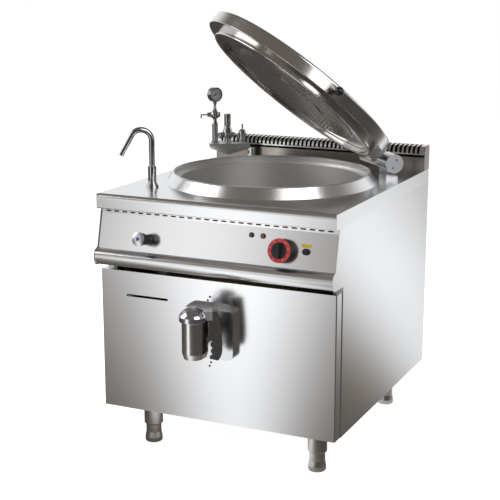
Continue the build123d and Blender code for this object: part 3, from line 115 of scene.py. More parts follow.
class Graph:
    """Node tree of one material or of the world."""

    def __init__(self, name: str, sky: bool = False) -> None:
        """Makes an owner with an empty tree and its output.

        Args:
            name: the owner's name.
            sky: whether the owner is a world instead of a material.
        """
        self.owner = (bpy.data.worlds if sky else bpy.data.materials).new(name)
        self.owner.use_nodes = True
        self.tree = self.owner.node_tree
        self.tree.nodes.clear()
        self.output = self.tree.nodes.new("ShaderNodeOutputWorld" if sky else "ShaderNodeOutputMaterial")

    def node(self, kind: str, settings: dict | None = None, inputs: dict | None = None,
             out: Union[int, str] = 0) -> Port:
        """Adds a node of any type.

        Args:
            kind: the node's type name after "ShaderNode".
            settings: properties of the node.
            inputs: values or ports by socket name or index.
            out: name or index of the output to return.
        Returns:
            That output.
        """
        made = self.tree.nodes.new("ShaderNode" + kind)
        for key, value in (settings or {}).items():
            setattr(made, key, value)
        for key, value in (inputs or {}).items():
            socket = made.inputs[key]
            if isinstance(value, Port):
                self.tree.links.new(value.socket, socket)
            else:
                socket.default_value = value
        return Port(self, made.outputs[out])

    def value(self, operation: str, *operands: "Port | Number") -> Port:
        """Adds a Math node with the given operands and returns its result."""
        return self.node("Math", {"operation": operation}, dict(enumerate(operands)))

    def vector(self, operation: str, *operands: "Port | Point", out: Union[int, str] = 0) -> Port:
        """Adds a Vector Math node with the given operands and returns one output."""
        return self.node("VectorMath", {"operation": operation}, dict(enumerate(operands)), out)

    def mix(self, factor: "Port | float", a: "Port | Colour", b: "Port | Colour",
            blend: str = "MIX") -> Port:
        """Mixes two colours.

        Args:
            factor: share of b.
            a: first colour.
            b: second colour.
            blend: Blender's name of the blend type.
        Returns:
            The mixed colour.
        """
        pair = {6: a if isinstance(a, Port) else (*a, 1.0), 7: b if isinstance(b, Port) else (*b, 1.0)}
        return self.node("Mix", {"data_type": "RGBA", "blend_type": blend},
                         {0: factor, **pair}, 2)

    def place(self) -> Port:
        """The surface point in the object's own coordinates, in metres."""
        return self.node("TexCoord", out="Object")

    def noise(self, at: Port, scale: float, detail: float = 3.0, roughness: float = 0.55) -> Port:
        """Noise of a given scale at a place, 0 to 1."""
        return self.node("TexNoise", None,
                         {"Vector": at, "Scale": scale, "Detail": detail, "Roughness": roughness})

    def bump(self, height: Port, depth: float, strength: float = 1.0) -> Port:
        """Bump from a height field, depth in metres for a height of 1."""
        return self.node("Bump", None,
                         {"Height": height, "Distance": depth, "Strength": strength})

    def grey(self, level: Port) -> Port:
        """Turns a value into a grey."""
        return self.node("CombineColor", None, {0: level, 1: level, 2: level})

    def close(self, shader: Port) -> "bpy.types.Material | bpy.types.World":
        """Links a shader to the output and returns the owner."""
        self.tree.links.new(shader.socket, self.output.inputs[0])
        return self.owner

    def surface(self, varying: dict, **constants: "float | tuple") -> bpy.types.Material:
        """Closes the graph with the shader.

        Args:
            varying: ports by shader socket name.
            constants: plain values by socket name with underscores for spaces.
        Returns:
            The finished material.
        """
        plain = {key.replace("_", " "): value for key, value in constants.items()}
        return self.close(self.node("BsdfPrincipled", None, {**plain, **varying}))


# ---------------- finishes
class Grain(Enum):
    """Way the polishing belt ran over a steel sheet, as scales of the grain noise."""

    ALONG_X_UPRIGHT = (3.0, 3.0, 900.0)
    ALONG_X_LEVEL = (3.0, 900.0, 900.0)
    UPRIGHT = (900.0, 900.0, 4.0)
    NONE = (160.0, 160.0, 160.0)


@dataclass(frozen=True)
class Finish:
    """Look of one material.

    Attributes:
        name: the material's name.
    """

    name: str

    def make(self) -> bpy.types.Material:
        """Builds the material."""
        g = Graph(self.name)
        return self.shade(g, g.place())

    def shade(self, g: Graph, at: Port) -> bpy.types.Material:
        """Links the material's nodes.

        Args:
            g: its empty graph.
            at: the surface point.
        Returns:
            The finished material.
        """
        raise NotImplementedError


@dataclass(frozen=True)
class SteelSheet(Finish):
    """Brushed stainless sheet.

    Attributes:
        tone: brightness of the metal.
        grain: the way it was brushed.
        gloss: its roughness.
        depth: how strongly the grain shows, 0 to 1.
    """

    tone: Colour = (0.72, 0.72, 0.725)
    grain: Grain = Grain.ALONG_X_UPRIGHT
    gloss: float = 0.20
    depth: float = 0.35

    def shade(self, g: Graph, at: Port) -> bpy.types.Material:
        """Links the material's nodes."""
        lines = g.noise(g.vector("MULTIPLY", at, self.grain.value), 1.0, 3.0, 0.6) - 0.5
        clouds = g.noise(at, 3.5, 2.0) - 0.5
        marks = g.noise(at, 38.0, 4.0, 0.65).ramp(0.62, 0.82)
        shade = 1.0 + lines * (0.12 * self.depth) + clouds * 0.04
        colour = g.mix(1.0, self.tone, g.grey(shade), "MULTIPLY")
        dulled = g.mix(marks * 0.05, colour, tuple(c * 0.8 for c in self.tone))
        rough = self.gloss + lines * (0.10 * self.depth) + clouds * 0.03 + marks * 0.03
        return g.surface({"Base Color": dulled, "Roughness": rough.math("MAXIMUM", 0.05),
                          "Normal": g.bump(lines, 0.00003, 0.5 * self.depth)}, Metallic=1.0)


@dataclass(frozen=True)
class FlueSteel(Finish):
    """Stainless of the flue, with its interior painted near black as shade.

    Attributes:
        curved: whether it is the louvred cover, whose interior, painted in shade, is told by the way it
            faces.
        tone: colour of the outside.
        front: y of the flue's front face.
        back: y of its back face.
        sheet: thickness of the sheet.
        half_width: half of the flue's width.
    """

    curved: bool
    tone: Colour = (0.60, 0.60, 0.60)
    front: float = 0.3955
    back: float = 0.450
    sheet: float = 0.0015
    half_width: float = 0.400

    def shade(self, g: Graph, at: Port) -> bpy.types.Material:
        """Links the material's nodes."""
        x, y = (g.node("SeparateXYZ", None, {0: at}, axis) for axis in "XY")
        edge = self.sheet * 0.4
        before_back = y.ramp(self.back - self.sheet + edge * 0.4, self.back - edge, 1.0, 0.0)
        # painted shade: mask of the flue's interior, which is coloured near black
        if self.curved:
            faces = g.node("NewGeometry", out="Normal")
            ny, nz = (g.node("SeparateXYZ", None, {0: faces}, axis) for axis in "YZ")
            under = ny.ramp(0.2, 0.5).math("MAXIMUM", nz.ramp(-0.5, -0.2, 1.0, 0.0))
            rear = ny.ramp(-0.98, -0.90, 1.0, 0.0) * y.ramp(self.back - 0.008, self.back - 0.004)
            painted_shade_mask = under.math("MAXIMUM", rear) * before_back
        else:
            past_front = y.ramp(self.front + edge, self.front + self.sheet - edge * 0.4)
            between = x.math("ABSOLUTE").ramp(self.half_width - self.sheet + edge * 0.4,
                                              self.half_width - edge, 1.0, 0.0)
            painted_shade_mask = past_front * before_back * between
        lines = g.noise(g.vector("MULTIPLY", at, Grain.ALONG_X_LEVEL.value), 1.0, 3.0, 0.6) - 0.5
        outside = g.mix(1.0, self.tone, g.grey(1.0 + lines * 0.06), "MULTIPLY")
        # the flue's interior gets a near black colour as painted shade
        return g.surface({"Base Color": g.mix(painted_shade_mask, outside, (0.004, 0.004, 0.004)),
                          "Roughness": 0.22 + lines * 0.05 + painted_shade_mask * 0.5}, Metallic=1.0)


@dataclass(frozen=True)
class SpunSteel(Finish):
    """Stainless sheet polished in rings about an axis.

    Attributes:
        centre: a point on the axis.
        axis: the axis' direction.
        tone: brightness of the metal.
        gloss: its roughness.
    """

    centre: Point
    axis: Point
    tone: Colour = (0.70, 0.70, 0.70)
    gloss: float = 0.22

    def shade(self, g: Graph, at: Port) -> bpy.types.Material:
        """Links the material's nodes."""
        arm = g.vector("SUBTRACT", at, self.centre)
        height = g.vector("DOT_PRODUCT", arm, self.axis, out="Value")
        rise = g.node("VectorMath", {"operation": "SCALE"}, {0: self.axis, "Scale": height})
        radius = g.vector("LENGTH", g.vector("SUBTRACT", arm, rise), out="Value")
        ring_at = g.node("CombineXYZ", None, {0: radius * 260.0, 1: height * 260.0, 2: 0.0})
        rings = g.noise(ring_at, 1.0, 2.0, 0.5) - 0.5
        clouds = g.noise(at, 5.0, 3.0) - 0.5
        stains = g.noise(at, 24.0, 4.0, 0.65).ramp(0.60, 0.84)
        shade = 1.0 + rings * 0.05 + clouds * 0.05
        colour = g.mix(1.0, self.tone, g.grey(shade), "MULTIPLY")
        stained = g.mix(stains * 0.06, colour, tuple(c * 0.72 for c in self.tone))
        rough = self.gloss + rings * 0.05 + clouds * 0.03 + stains * 0.04
        return g.surface({"Base Color": stained, "Roughness": rough.math("MAXIMUM", 0.05)}, Metallic=1.0)


@dataclass(frozen=True)
class PlatedMetal(Finish):
    """Polished or plated metal with faint smears and fine wiping marks.

    Attributes:
        tone: colour of the metal.
        gloss: its roughness.
        wear: how far the dull patches go.
    """

    tone: Colour = (0.72, 0.73, 0.75)
    gloss: float = 0.08
    wear: float = 0.12

    def shade(self, g: Graph, at: Port) -> bpy.types.Material:
        """Links the material's nodes."""
        smears = g.noise(at, 45.0, 4.0, 0.6)
        hairs = g.noise(g.vector("MULTIPLY", at, (500.0, 500.0, 60.0)), 1.0, 3.0, 0.7)
        pits = g.node("TexVoronoi", {"feature": "F1"}, {"Vector": at, "Scale": 420.0},
                      "Distance").ramp(0.05, 0.18, 1.0, 0.0)
        dull = smears.ramp(0.5, 0.78)
        colour = g.mix(dull * 0.35 + pits * 0.25, self.tone, tuple(c * 0.72 for c in self.tone))
        rough = self.gloss + dull * self.wear + (hairs - 0.5) * 0.05 + pits * 0.15
        normal = g.bump(hairs * 0.6 - pits, 0.00005, 0.4)
        return g.surface({"Base Color": colour, "Roughness": rough.math("MAXIMUM", 0.03),
                          "Normal": normal}, Metallic=1.0)


@dataclass(frozen=True)
class MouldedPlastic(Finish):
    """Moulded plastic with a fine spark texture and rubbed patches.

    Attributes:
        tone: its colour.
        gloss: its roughness.
        texture: depth of the moulded texture in metres.
    """

    tone: Colour = (0.018, 0.018, 0.019)
    gloss: float = 0.42
    texture: float = 0.00008

    def shade(self, g: Graph, at: Port) -> bpy.types.Material:
        """Links the material's nodes."""
        spark = g.noise(at, 1500.0, 3.0, 0.6)
        rubbed = g.noise(at, 60.0, 3.0).ramp(0.5, 0.72)
        dust = g.noise(at, 300.0, 2.0).ramp(0.62, 0.85)
        pale = tuple(min(1.0, c * 1.6 + 0.02) for c in self.tone)
        colour = g.mix(rubbed * 0.35 + dust * 0.2, self.tone, pale)
        rough = self.gloss + (spark - 0.5) * 0.2 - rubbed * 0.10
        return g.surface({"Base Color": colour, "Roughness": rough,
                          "Normal": g.bump(spark, self.texture, 0.6)}, Specular_IOR_Level=0.5)


@dataclass(frozen=True)
class LampLens(Finish):
    """Tinted lens with a painted glow at its core behind fine ribs.

    Attributes:
        tone: the lens' colour.
        across: a point on the lamp's axis, in metres.
    """

    tone: Colour
    across: Point

    def shade(self, g: Graph, at: Port) -> bpy.types.Material:
        """Links the material's nodes."""
        reach = g.vector("LENGTH", g.vector("SUBTRACT", at, self.across), out="Value")
        ribs = (reach * 5200.0).math("SINE")
        # painted glow: the lens colour is made lighter at its core, as if lit from behind
        painted_light_core = (g.vector("LENGTH", g.vector("MULTIPLY", g.vector("SUBTRACT", at, self.across),
                                            (1.0, 0.2, 1.0)), out="Value")).ramp(0.001, 0.006, 1.0, 0.0)
        speck = g.noise(at, 900.0, 2.0)
        bright = tuple(min(1.0, c * 1.5 + 0.10) for c in self.tone)
        lens = g.mix(painted_light_core * 0.4 + (speck - 0.5) * 0.2, self.tone, bright)
        colour = g.mix(reach.ramp(0.0056, 0.0064), lens, (0.006, 0.006, 0.006))
        return g.surface({"Base Color": colour, "Roughness": 0.10 + ribs.math("ABSOLUTE") * 0.08,
                          "Normal": g.bump(ribs, 0.0001, 0.5)}, Coat_Weight=0.3, Coat_Roughness=0.04)


@dataclass(frozen=True)
class Enamel(Finish):
    """Smooth baked enamel or printed paint with fine grain.

    Attributes:
        tone: its colour.
        gloss: its roughness.
    """

    tone: Colour
    gloss: float = 0.35

    def shade(self, g: Graph, at: Port) -> bpy.types.Material:
        """Links the material's nodes."""
        peel = g.noise(at, 420.0, 3.0)
        fade = g.noise(at, 40.0, 2.0)
        colour = g.mix((fade - 0.3) * 0.25 + (peel - 0.5) * 0.12, self.tone,
                       tuple(c * 0.78 for c in self.tone))
        return g.surface({"Base Color": colour, "Roughness": self.gloss + (peel - 0.5) * 0.15,
                          "Normal": g.bump(peel, 0.00004, 0.4)}, Coat_Weight=0.2)


@dataclass(frozen=True)
class ClearGlass(Finish):
    """Thin window glass with faint smears."""

    def shade(self, g: Graph, at: Port) -> bpy.types.Material:
        """Links the material's nodes."""
        smear = g.noise(at, 90.0, 3.0).ramp(0.45, 0.8)
        return g.surface({"Roughness": 0.02 + smear * 0.10, "Alpha": 0.14 + smear * 0.06},
                         Base_Color=(0.92, 0.95, 0.95, 1.0), Specular_IOR_Level=0.7)


@dataclass(frozen=True)
class MineralWool(Finish):
    """Matted mineral wool.

    Attributes:
        tone: its colour.
    """

    tone: Colour = (0.50, 0.42, 0.24)

    def shade(self, g: Graph, at: Port) -> bpy.types.Material:
        """Links the material's nodes."""
        strands = g.noise(g.vector("MULTIPLY", at, (1.0, 1.0, 3.0)), 190.0, 6.0, 0.7)
        clumps = g.noise(at, 22.0, 4.0)
        colour = g.mix(strands * 0.6 + clumps * 0.4, tuple(c * 0.55 for c in self.tone), self.tone)
        return g.surface({"Base Color": colour, "Roughness": 0.85 + (strands - 0.5) * 0.2,
                          "Normal": g.bump(strands + clumps * 2.0, 0.002, 0.8)})


@dataclass(frozen=True)
class Galvanised(Finish):
    """Zinc-coated steel with its spangle.

    Attributes:
        tone: its colour.
    """

    tone: Colour = (0.50, 0.52, 0.54)

    def shade(self, g: Graph, at: Port) -> bpy.types.Material:
        """Links the material's nodes."""
        spangle = g.node("TexVoronoi", {"feature": "F1"}, {"Vector": at, "Scale": 90.0}, "Color")
        grey = g.node("SeparateColor", None, {0: spangle})
        cloud = g.noise(at, 12.0, 3.0)
        colour = g.mix(grey * 0.6 + cloud * 0.2, tuple(c * 0.72 for c in self.tone), self.tone)
        return g.surface({"Base Color": colour, "Roughness": 0.38 + grey * 0.2,
                          "Normal": g.bump(grey, 0.0001, 0.3)}, Metallic=1.0)


# ---------------- places on the object
@dataclass(frozen=True)
class Axes:
    """Local frame of a control, fitting or lid.

    Attributes:
        origin: where it stands.
        out: the way it faces.
        right: its local X.
    """

    origin: Vector
    out: Vector
    right: Vector

    @property
    def matrix(self) -> Matrix:
        """World matrix with local Z along out and local X along right."""
        z = self.out.normalized()
        x = (self.right - z * self.right.dot(z)).normalized()
        y = z.cross(x)
        turn = Matrix((x, y, z)).transposed().to_4x4()
        return Matrix.Translation(self.origin) @ turn


@dataclass(frozen=True)
class Layout:
    """Sizes that place the dressing, in metres, and angles in degrees."""

    fascia_top: Point = (0.0, -0.419, 0.787)
    fascia_low: Point = (0.0, -0.446, 0.677)
    kettle_y: float = -0.004
    hinge_bearing: float = 43.56
    hinge_reach: float = 0.390
    hinge_z: float = 0.9035
    lid_rest: float = 40.05
    lid_underside: float = 0.8736
    header: tuple[float, float] = (-0.3141, 0.3292)
    header_angle: float = 30.0
    gauge_along: float = -0.0526
    gauge_z: float = 1.0895
    gauge_bearing: float = -30.0
    gauge_depth: float = 0.021

    def on_fascia(self, x: float, z: float, out: float = 0.0) -> Axes:
        """Frame on the sloping fascia.

        Args:
            x: place across.
            z: height.
            out: distance in front of the face.
        Returns:
            The frame, its Z out of the fascia.
        """
        top, low = Vector(self.fascia_top), Vector(self.fascia_low)
        slope = (top - low).normalized()
        normal = Vector((1, 0, 0)).cross(slope)
        y = low.y + (top.y - low.y) * (z - low.z) / (top.z - low.z)
        return Axes(Vector((x, y, z)) + normal * out, normal, Vector((1, 0, 0)))

    def lid(self) -> Axes:
        """Frame of the open lid: origin on its axis at the liner's face, Z out of its top."""
        bearing = math.radians(self.hinge_bearing)
        outward = Vector((math.cos(bearing), math.sin(bearing), 0))
        along = Vector((-outward.y, outward.x, 0))
        foot = Vector((0, self.kettle_y, self.hinge_z)) + outward * self.hinge_reach
        turn = Matrix.Rotation(math.radians(self.lid_rest), 3, along)
        centre = Vector((0, self.kettle_y, self.lid_underside))
        return Axes(foot + turn @ (centre - foot), turn @ Vector((0, 0, 1)), along)

    def gauge(self) -> Axes:
        """Frame of the gauge, Z out of its dial and X to the dial's right."""
        a, b = math.radians(self.header_angle), math.radians(self.gauge_bearing)
        centre = Vector((self.header[0] + self.gauge_along * math.cos(a),
                         self.header[1] + self.gauge_along * math.sin(a), self.gauge_z))
        out = Vector((math.cos(b), math.sin(b), 0))
        return Axes(centre, out, Vector((-math.sin(b), math.cos(b), 0)))


# ---------------- mesh making
class Maker:
    """Builds meshes, gives them a finish and sets them on a body."""

    @staticmethod
    def add(mesh: bpy.types.Mesh, finish: bpy.types.Material, body: str, slot: str,
            smooth: bool = True) -> bpy.types.Object:
        """Adds a finished piece to the scene, named as its mesh.

        Args:
            mesh: its mesh, in world coordinates.
            finish: its material.
            body: the CAD body it rides on.
            slot: the record's material slot; not used.
            smooth: whether its faces shade smoothly.
        Returns:
            The object.
        """
        piece = bpy.data.objects.new(mesh.name, mesh)
        bpy.context.scene.collection.objects.link(piece)
        mesh.materials.clear()
        mesh.materials.append(finish)
        for face in mesh.polygons:
            face.use_smooth = smooth
        if smooth:
            mesh.set_sharp_from_angle(angle=SHARP_ANGLE)
        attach(piece, body)
        return piece

    @staticmethod
    def placed(name: str, bm: bmesh.types.BMesh, frame_at: Axes) -> bpy.types.Mesh:
        """Moves a finished edit mesh to its frame, frees it and returns the mesh."""
        bmesh.ops.transform(bm, matrix=frame_at.matrix, verts=bm.verts)
        mesh = bpy.data.meshes.new(name)
        bm.to_mesh(mesh)
        bm.free()
        return mesh

    @staticmethod
    def lathe(name: str, profile: Sequence[tuple[float, float]], frame_at: Axes, steps: int = 48,
              flute: Callable[[float, float], float] | None = None) -> bpy.types.Mesh:
        """Turned shape from a (radius, height) profile in millimetres.

        Args:
            name: the mesh's name.
            profile: outline from the bottom to the top; ends at radius 0 close it.
            frame_at: where its axis stands.
            steps: segments round the axis.
            flute: gives a factor on the radius from the angle and the height.
        Returns:
            The mesh.
        """
        bm = bmesh.new()
        rings = []
        for r, h in profile:
            if r < 1e-6:
                rings.append([bm.verts.new((0, 0, h * MM))])
                continue
            ring = []
            for i in range(steps):
                a = 2 * math.pi * i / steps
                rr = r * MM * (flute(a, h) if flute else 1.0)
                ring.append(bm.verts.new((rr * math.cos(a), rr * math.sin(a), h * MM)))
            rings.append(ring)
        for low, high in zip(rings, rings[1:]):
            for i in range(steps):
                j = (i + 1) % steps
                loop = [low[i % len(low)], low[j % len(low)], high[j % len(high)], high[i % len(high)]]
                loop = list(dict.fromkeys(loop))
                if len(loop) > 2:
                    bm.faces.new(loop)
        bmesh.ops.recalc_face_normals(bm, faces=bm.faces)
        return Maker.placed(name, bm, frame_at)

    @staticmethod
    def plate(name: str, outline: Sequence[tuple[float, float]], thickness: float, frame_at: Axes,
              bevel: float = 0.0) -> bpy.types.Mesh:
        """Flat plate from a closed outline in millimetres.

        Args:
            name: the mesh's name.
            outline: points of its edge.
            thickness: its height along local Z.
            frame_at: where it stands.
            bevel: rounding of its edges.
        Returns:
            The mesh.
        """
        bm = bmesh.new()
        low = [bm.verts.new((x * MM, y * MM, 0)) for x, y in outline]
        face = bm.faces.new(low)
        top = bmesh.ops.extrude_face_region(bm, geom=[face])["geom"]
        verts = [v for v in top if isinstance(v, bmesh.types.BMVert)]
        bmesh.ops.translate(bm, vec=(0, 0, thickness * MM), verts=verts)
        bmesh.ops.recalc_face_normals(bm, faces=bm.faces)
        if bevel:
            bmesh.ops.bevel(bm, geom=bm.edges[:], offset=bevel * MM, segments=2, affect="EDGES")
        return Maker.placed(name, bm, frame_at)

    @staticmethod
    def rounded(width: float, height: float, radius: float, steps: int = 6) -> list[tuple[float, float]]:
        """Outline of a rounded rectangle about the origin."""
        points = []
        for cx, cy, start in ((1, 1, 0), (-1, 1, 90), (-1, -1, 180), (1, -1, 270)):
            for i in range(steps + 1):
                a = math.radians(start + 90 * i / steps)
                points.append((cx * (width / 2 - radius) + radius * math.cos(a),
                               cy * (height / 2 - radius) + radius * math.sin(a)))
        return points

    @staticmethod
    def figures(name: str, marks: Iterable[tuple[str, float, float, float]], size: float,
                frame_at: Axes) -> bpy.types.Mesh:
        """Raised figures on a dial.

        Args:
            name: the mesh's name.
            marks: (text, x, y, turn in radians) for each figure, millimetres.
            size: height of a figure in millimetres.
            frame_at: the dial's frame.
        Returns:
            One mesh of all figures.
        """
        bm = bmesh.new()
        for text, x, y, turn in marks:
            curve = bpy.data.curves.new(name + "_text", "FONT")
            curve.body = text
            curve.size = size * MM
            curve.align_x = "CENTER"
            curve.align_y = "CENTER"
            curve.extrude = FIGURE_RELIEF
            curve.resolution_u = 3
            holder = bpy.data.objects.new(name + "_holder", curve)
            bpy.context.scene.collection.objects.link(holder)
            bpy.context.view_layer.update()
            part = bpy.data.meshes.new_from_object(holder)
            part.transform(Matrix.Translation((x * MM, y * MM, 0)) @ Matrix.Rotation(turn, 4, "Z"))
            bm.from_mesh(part)
            bpy.data.objects.remove(holder)
            bpy.data.curves.remove(curve)
            bpy.data.meshes.remove(part)
        return Maker.placed(name, bm, frame_at)

    @staticmethod
    def strokes(name: str, bars: Iterable[tuple[float, float, float, float]], thickness: float,
                frame_at: Axes) -> bpy.types.Mesh:
        """Short flat strokes such as a scale's ticks.

        Args:
            name: the mesh's name.
            bars: (angle in degrees, inner radius, outer radius, width) in millimetres.
            thickness: height of the strokes.
            frame_at: the dial's frame.
        Returns:
            One mesh of all strokes.
        """
        bm = bmesh.new()
        for angle, inner, outer, width in bars:
            turn = Matrix.Rotation(math.radians(angle), 3, "Z")
            corners = [(inner, -width / 2), (outer, -width / 2), (outer, width / 2), (inner, width / 2)]
            low = [bm.verts.new(turn @ Vector((x * MM, y * MM, 0))) for x, y in corners]
            high = [bm.verts.new(turn @ Vector((x * MM, y * MM, thickness * MM))) for x, y in corners]
            bm.faces.new(high)
            for i in range(4):
                j = (i + 1) % 4
                bm.faces.new((low[i], low[j], high[j], high[i]))
        return Maker.placed(name, bm, frame_at)


def dress(finish: bpy.types.Material, *nodes: str) -> None:
    """Gives CAD nodes a finish.

    Args:
        finish: the material.
        nodes: names of the CAD nodes.
    """
    for name in nodes:
        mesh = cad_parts[name].data
        mesh.materials.clear()
        mesh.materials.append(finish)
        log.info("dressed %s with %s", name, finish.name)


# ---------------- sub-assemblies
@dataclass
class Cabinet:
    """Panels, worktop, frame, flue and feet."""

    panel: SteelSheet = SteelSheet("panel_steel", (0.70, 0.70, 0.705), Grain.ALONG_X_UPRIGHT, 0.17)
    front: SteelSheet = SteelSheet("front_steel", (0.72, 0.72, 0.725), Grain.ALONG_X_UPRIGHT, 0.19)
    top: SteelSheet = SteelSheet("worktop_steel", (0.74, 0.745, 0.75), Grain.ALONG_X_LEVEL, 0.22)
    # the riser's dark brown tone is a painted reflection of dark surroundings, not the steel's own colour
    riser: FlueSteel = FlueSteel("flue_riser_painted_reflection_steel", False, (0.34, 0.31, 0.28))
    grille: FlueSteel = FlueSteel("flue_grille_steel", True, (0.74, 0.74, 0.74))
    foot: SteelSheet = SteelSheet("foot_steel", (0.52, 0.50, 0.48), Grain.UPRIGHT, 0.20)

    def build(self) -> None:
        """Dresses the cabinet and adds the back panel's screws."""
        dress(self.front.make(), "front_panel", "control_panel")
        dress(self.panel.make(), "side_panels", "back_panel", "base_tray", "fascia_end_caps")
        dress(self.top.make(), "worktop", "bumper_rail")
        dress(self.riser.make(), "flue_riser")
        dress(self.grille.make(), "flue_grille")
        dress(self.foot.make(), "foot_sleeves", "foot_front_left", "foot_front_right", "foot_back_left",
              "foot_back_right")
        dress(Galvanised("galvanised_bar").make(), "inner_frame")
        self.screws()

    def screws(self) -> None:
        """Pan-head screws along the back panel's edges."""
        finish = PlatedMetal("screw_zinc", (0.62, 0.63, 0.64), 0.25, 0.2).make()
        profile = ((4.2, 0), (4.0, 1.2), (2.8, 2.1), (1.2, 2.3), (1.1, 1.5), (0, 1.5))
        places = [(x, z) for z in (0.18, 0.48, 0.78) for x in (-0.384, -0.13, 0.13, 0.384)]
        for number, (x, z) in enumerate(places):
            spot = Axes(Vector((x, 0.450, z)), Vector((0, 1, 0)), Vector((1, 0, 0)))
            name = f"back_screw_{number}"
            Maker.add(Maker.lathe(name, profile, spot, 20), finish, "cabinet", "chrome")


@dataclass
class Pan:
    """Vessel, jacket, lagging and heaters."""

    layout: Layout

    def build(self) -> None:
        """Dresses the pan and what surrounds it."""
        centre = (0.0, self.layout.kettle_y, 0.43)
        vessel = SpunSteel("vessel_steel", centre, (0, 0, 1), (0.80, 0.795, 0.79), 0.42)
        dress(vessel.make(), "inner_vessel", "drain_pipe")
        jacket = SpunSteel("jacket_steel", centre, (0, 0, 1), (0.40, 0.39, 0.38), 0.38)
        dress(jacket.make(), "jacket_shell")
        dress(MineralWool("mineral_wool").make(), "lagging")
        dress(PlatedMetal("heater_steel", (0.20, 0.19, 0.18), 0.4, 0.2).make(), "heating_elements")


@dataclass
class Lid:
    """Lid and the balanced hinge."""

    layout: Layout

    def build(self) -> None:
        """Dresses the lid and the hinge."""
        at = self.layout.lid()
        centre, axis = tuple(at.origin), tuple(at.out)
        liner = SpunSteel("liner_steel", centre, axis, (0.60, 0.58, 0.56), 0.16)
        skin = SpunSteel("lid_steel", centre, axis, (0.62, 0.61, 0.60), 0.16)
        dress(liner.make(), "lid_liner")
        dress(skin.make(), "lid_shell")
        hinge = SteelSheet("hinge_steel", (0.62, 0.63, 0.65), Grain.NONE, 0.22, 0.3)
        dress(hinge.make(), "hinge_housing", "lid_arm")
        dress(SteelSheet("cap_satin", (0.74, 0.77, 0.82), Grain.NONE, 0.50, 0.3).make(), "hinge_cap")


@dataclass
class Fittings:
    """Pressure header with its gauge and valves."""

    layout: Layout
    tick_count: int = 41
    figure_count: int = 5
    first: float = 225.0
    sweep: float = 270.0
    needle_turn: float = 40.0

    def build(self) -> None:
        """Dresses the fittings and prints the gauge's dial."""
        plated = PlatedMetal("fitting_plate", (0.50, 0.50, 0.50), 0.12, 0.16).make()
        dress(plated, "gauge_cock_body", "gauge_cock_lever", "gauge_case", "safety_valve_body",
              "safety_valve_cap", "vent_valve_body", "vent_valve_pin")
        dress(SteelSheet("header_steel", (0.58, 0.59, 0.59), Grain.NONE, 0.18, 0.3).make(), "steam_header")
        dress(Enamel("dial_enamel", (0.84, 0.87, 0.92), 0.4).make(), "gauge_dial")
        dress(ClearGlass("gauge_window").make(), "gauge_glass")
        self.dial()
        self.needle()

    def needle(self) -> None:
        """Tapered pointer with its hub, over the dial."""
        base = self.layout.gauge()
        paint = Enamel("needle_paint", (0.012, 0.014, 0.03), 0.4).make()
        at = Axes(base.origin + base.out * (self.layout.gauge_depth / 2 - 0.0065), base.out, base.right)
        turn = math.radians(self.needle_turn)
        outline = [(-7.0, -2.6), (4.0, -2.3), (16.0, -0.5), (16.0, 0.5), (4.0, 2.3), (-7.0, 2.6)]
        turned = [(x * math.cos(turn) - y * math.sin(turn), x * math.sin(turn) + y * math.cos(turn))
                  for x, y in outline]
        plate = Maker.plate("gauge_pointer_plate", turned, 0.9, at, 0.15)
        pointer = Maker.add(plate, paint, "gauge_pointer", "needle_black", False)
        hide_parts("gauge_needle")
        outline = ((0, -0.4), (3.4, -0.4), (3.4, 1.2), (2.6, 1.9), (0, 2.0))
        hub = Maker.lathe("gauge_pointer_hub", outline, at, 32)
        Maker.add(hub, paint, "gauge_pointer", "needle_black")

    def dial(self) -> None:
        """Ticks and figures on the gauge's dial."""
        base = self.layout.gauge()
        face = Axes(base.origin + base.out * (self.layout.gauge_depth / 2 - 0.007), base.out, base.right)
        ink = Enamel("dial_ink", (0.02, 0.02, 0.022), 0.5).make()
        ticks = []
        for i in range(self.tick_count):
            angle = self.first - self.sweep * i / (self.tick_count - 1)
            long_one = i % 10 == 0
            ticks.append((angle, 17.4 if long_one else 19.4, 21.6, 0.6 if long_one else 0.3))
        Maker.add(Maker.strokes("gauge_ticks", ticks, 0.08, face), ink, "cabinet", "needle_black", False)
        marks = []
        for i in range(self.figure_count):
            angle = math.radians(self.first - self.sweep * i / (self.figure_count - 1))
            marks.append((str(i), 13.6 * math.cos(angle), 13.6 * math.sin(angle), 0.0))
        Maker.add(Maker.figures("gauge_figures", marks, 4.8, face), ink, "cabinet", "needle_black", False)


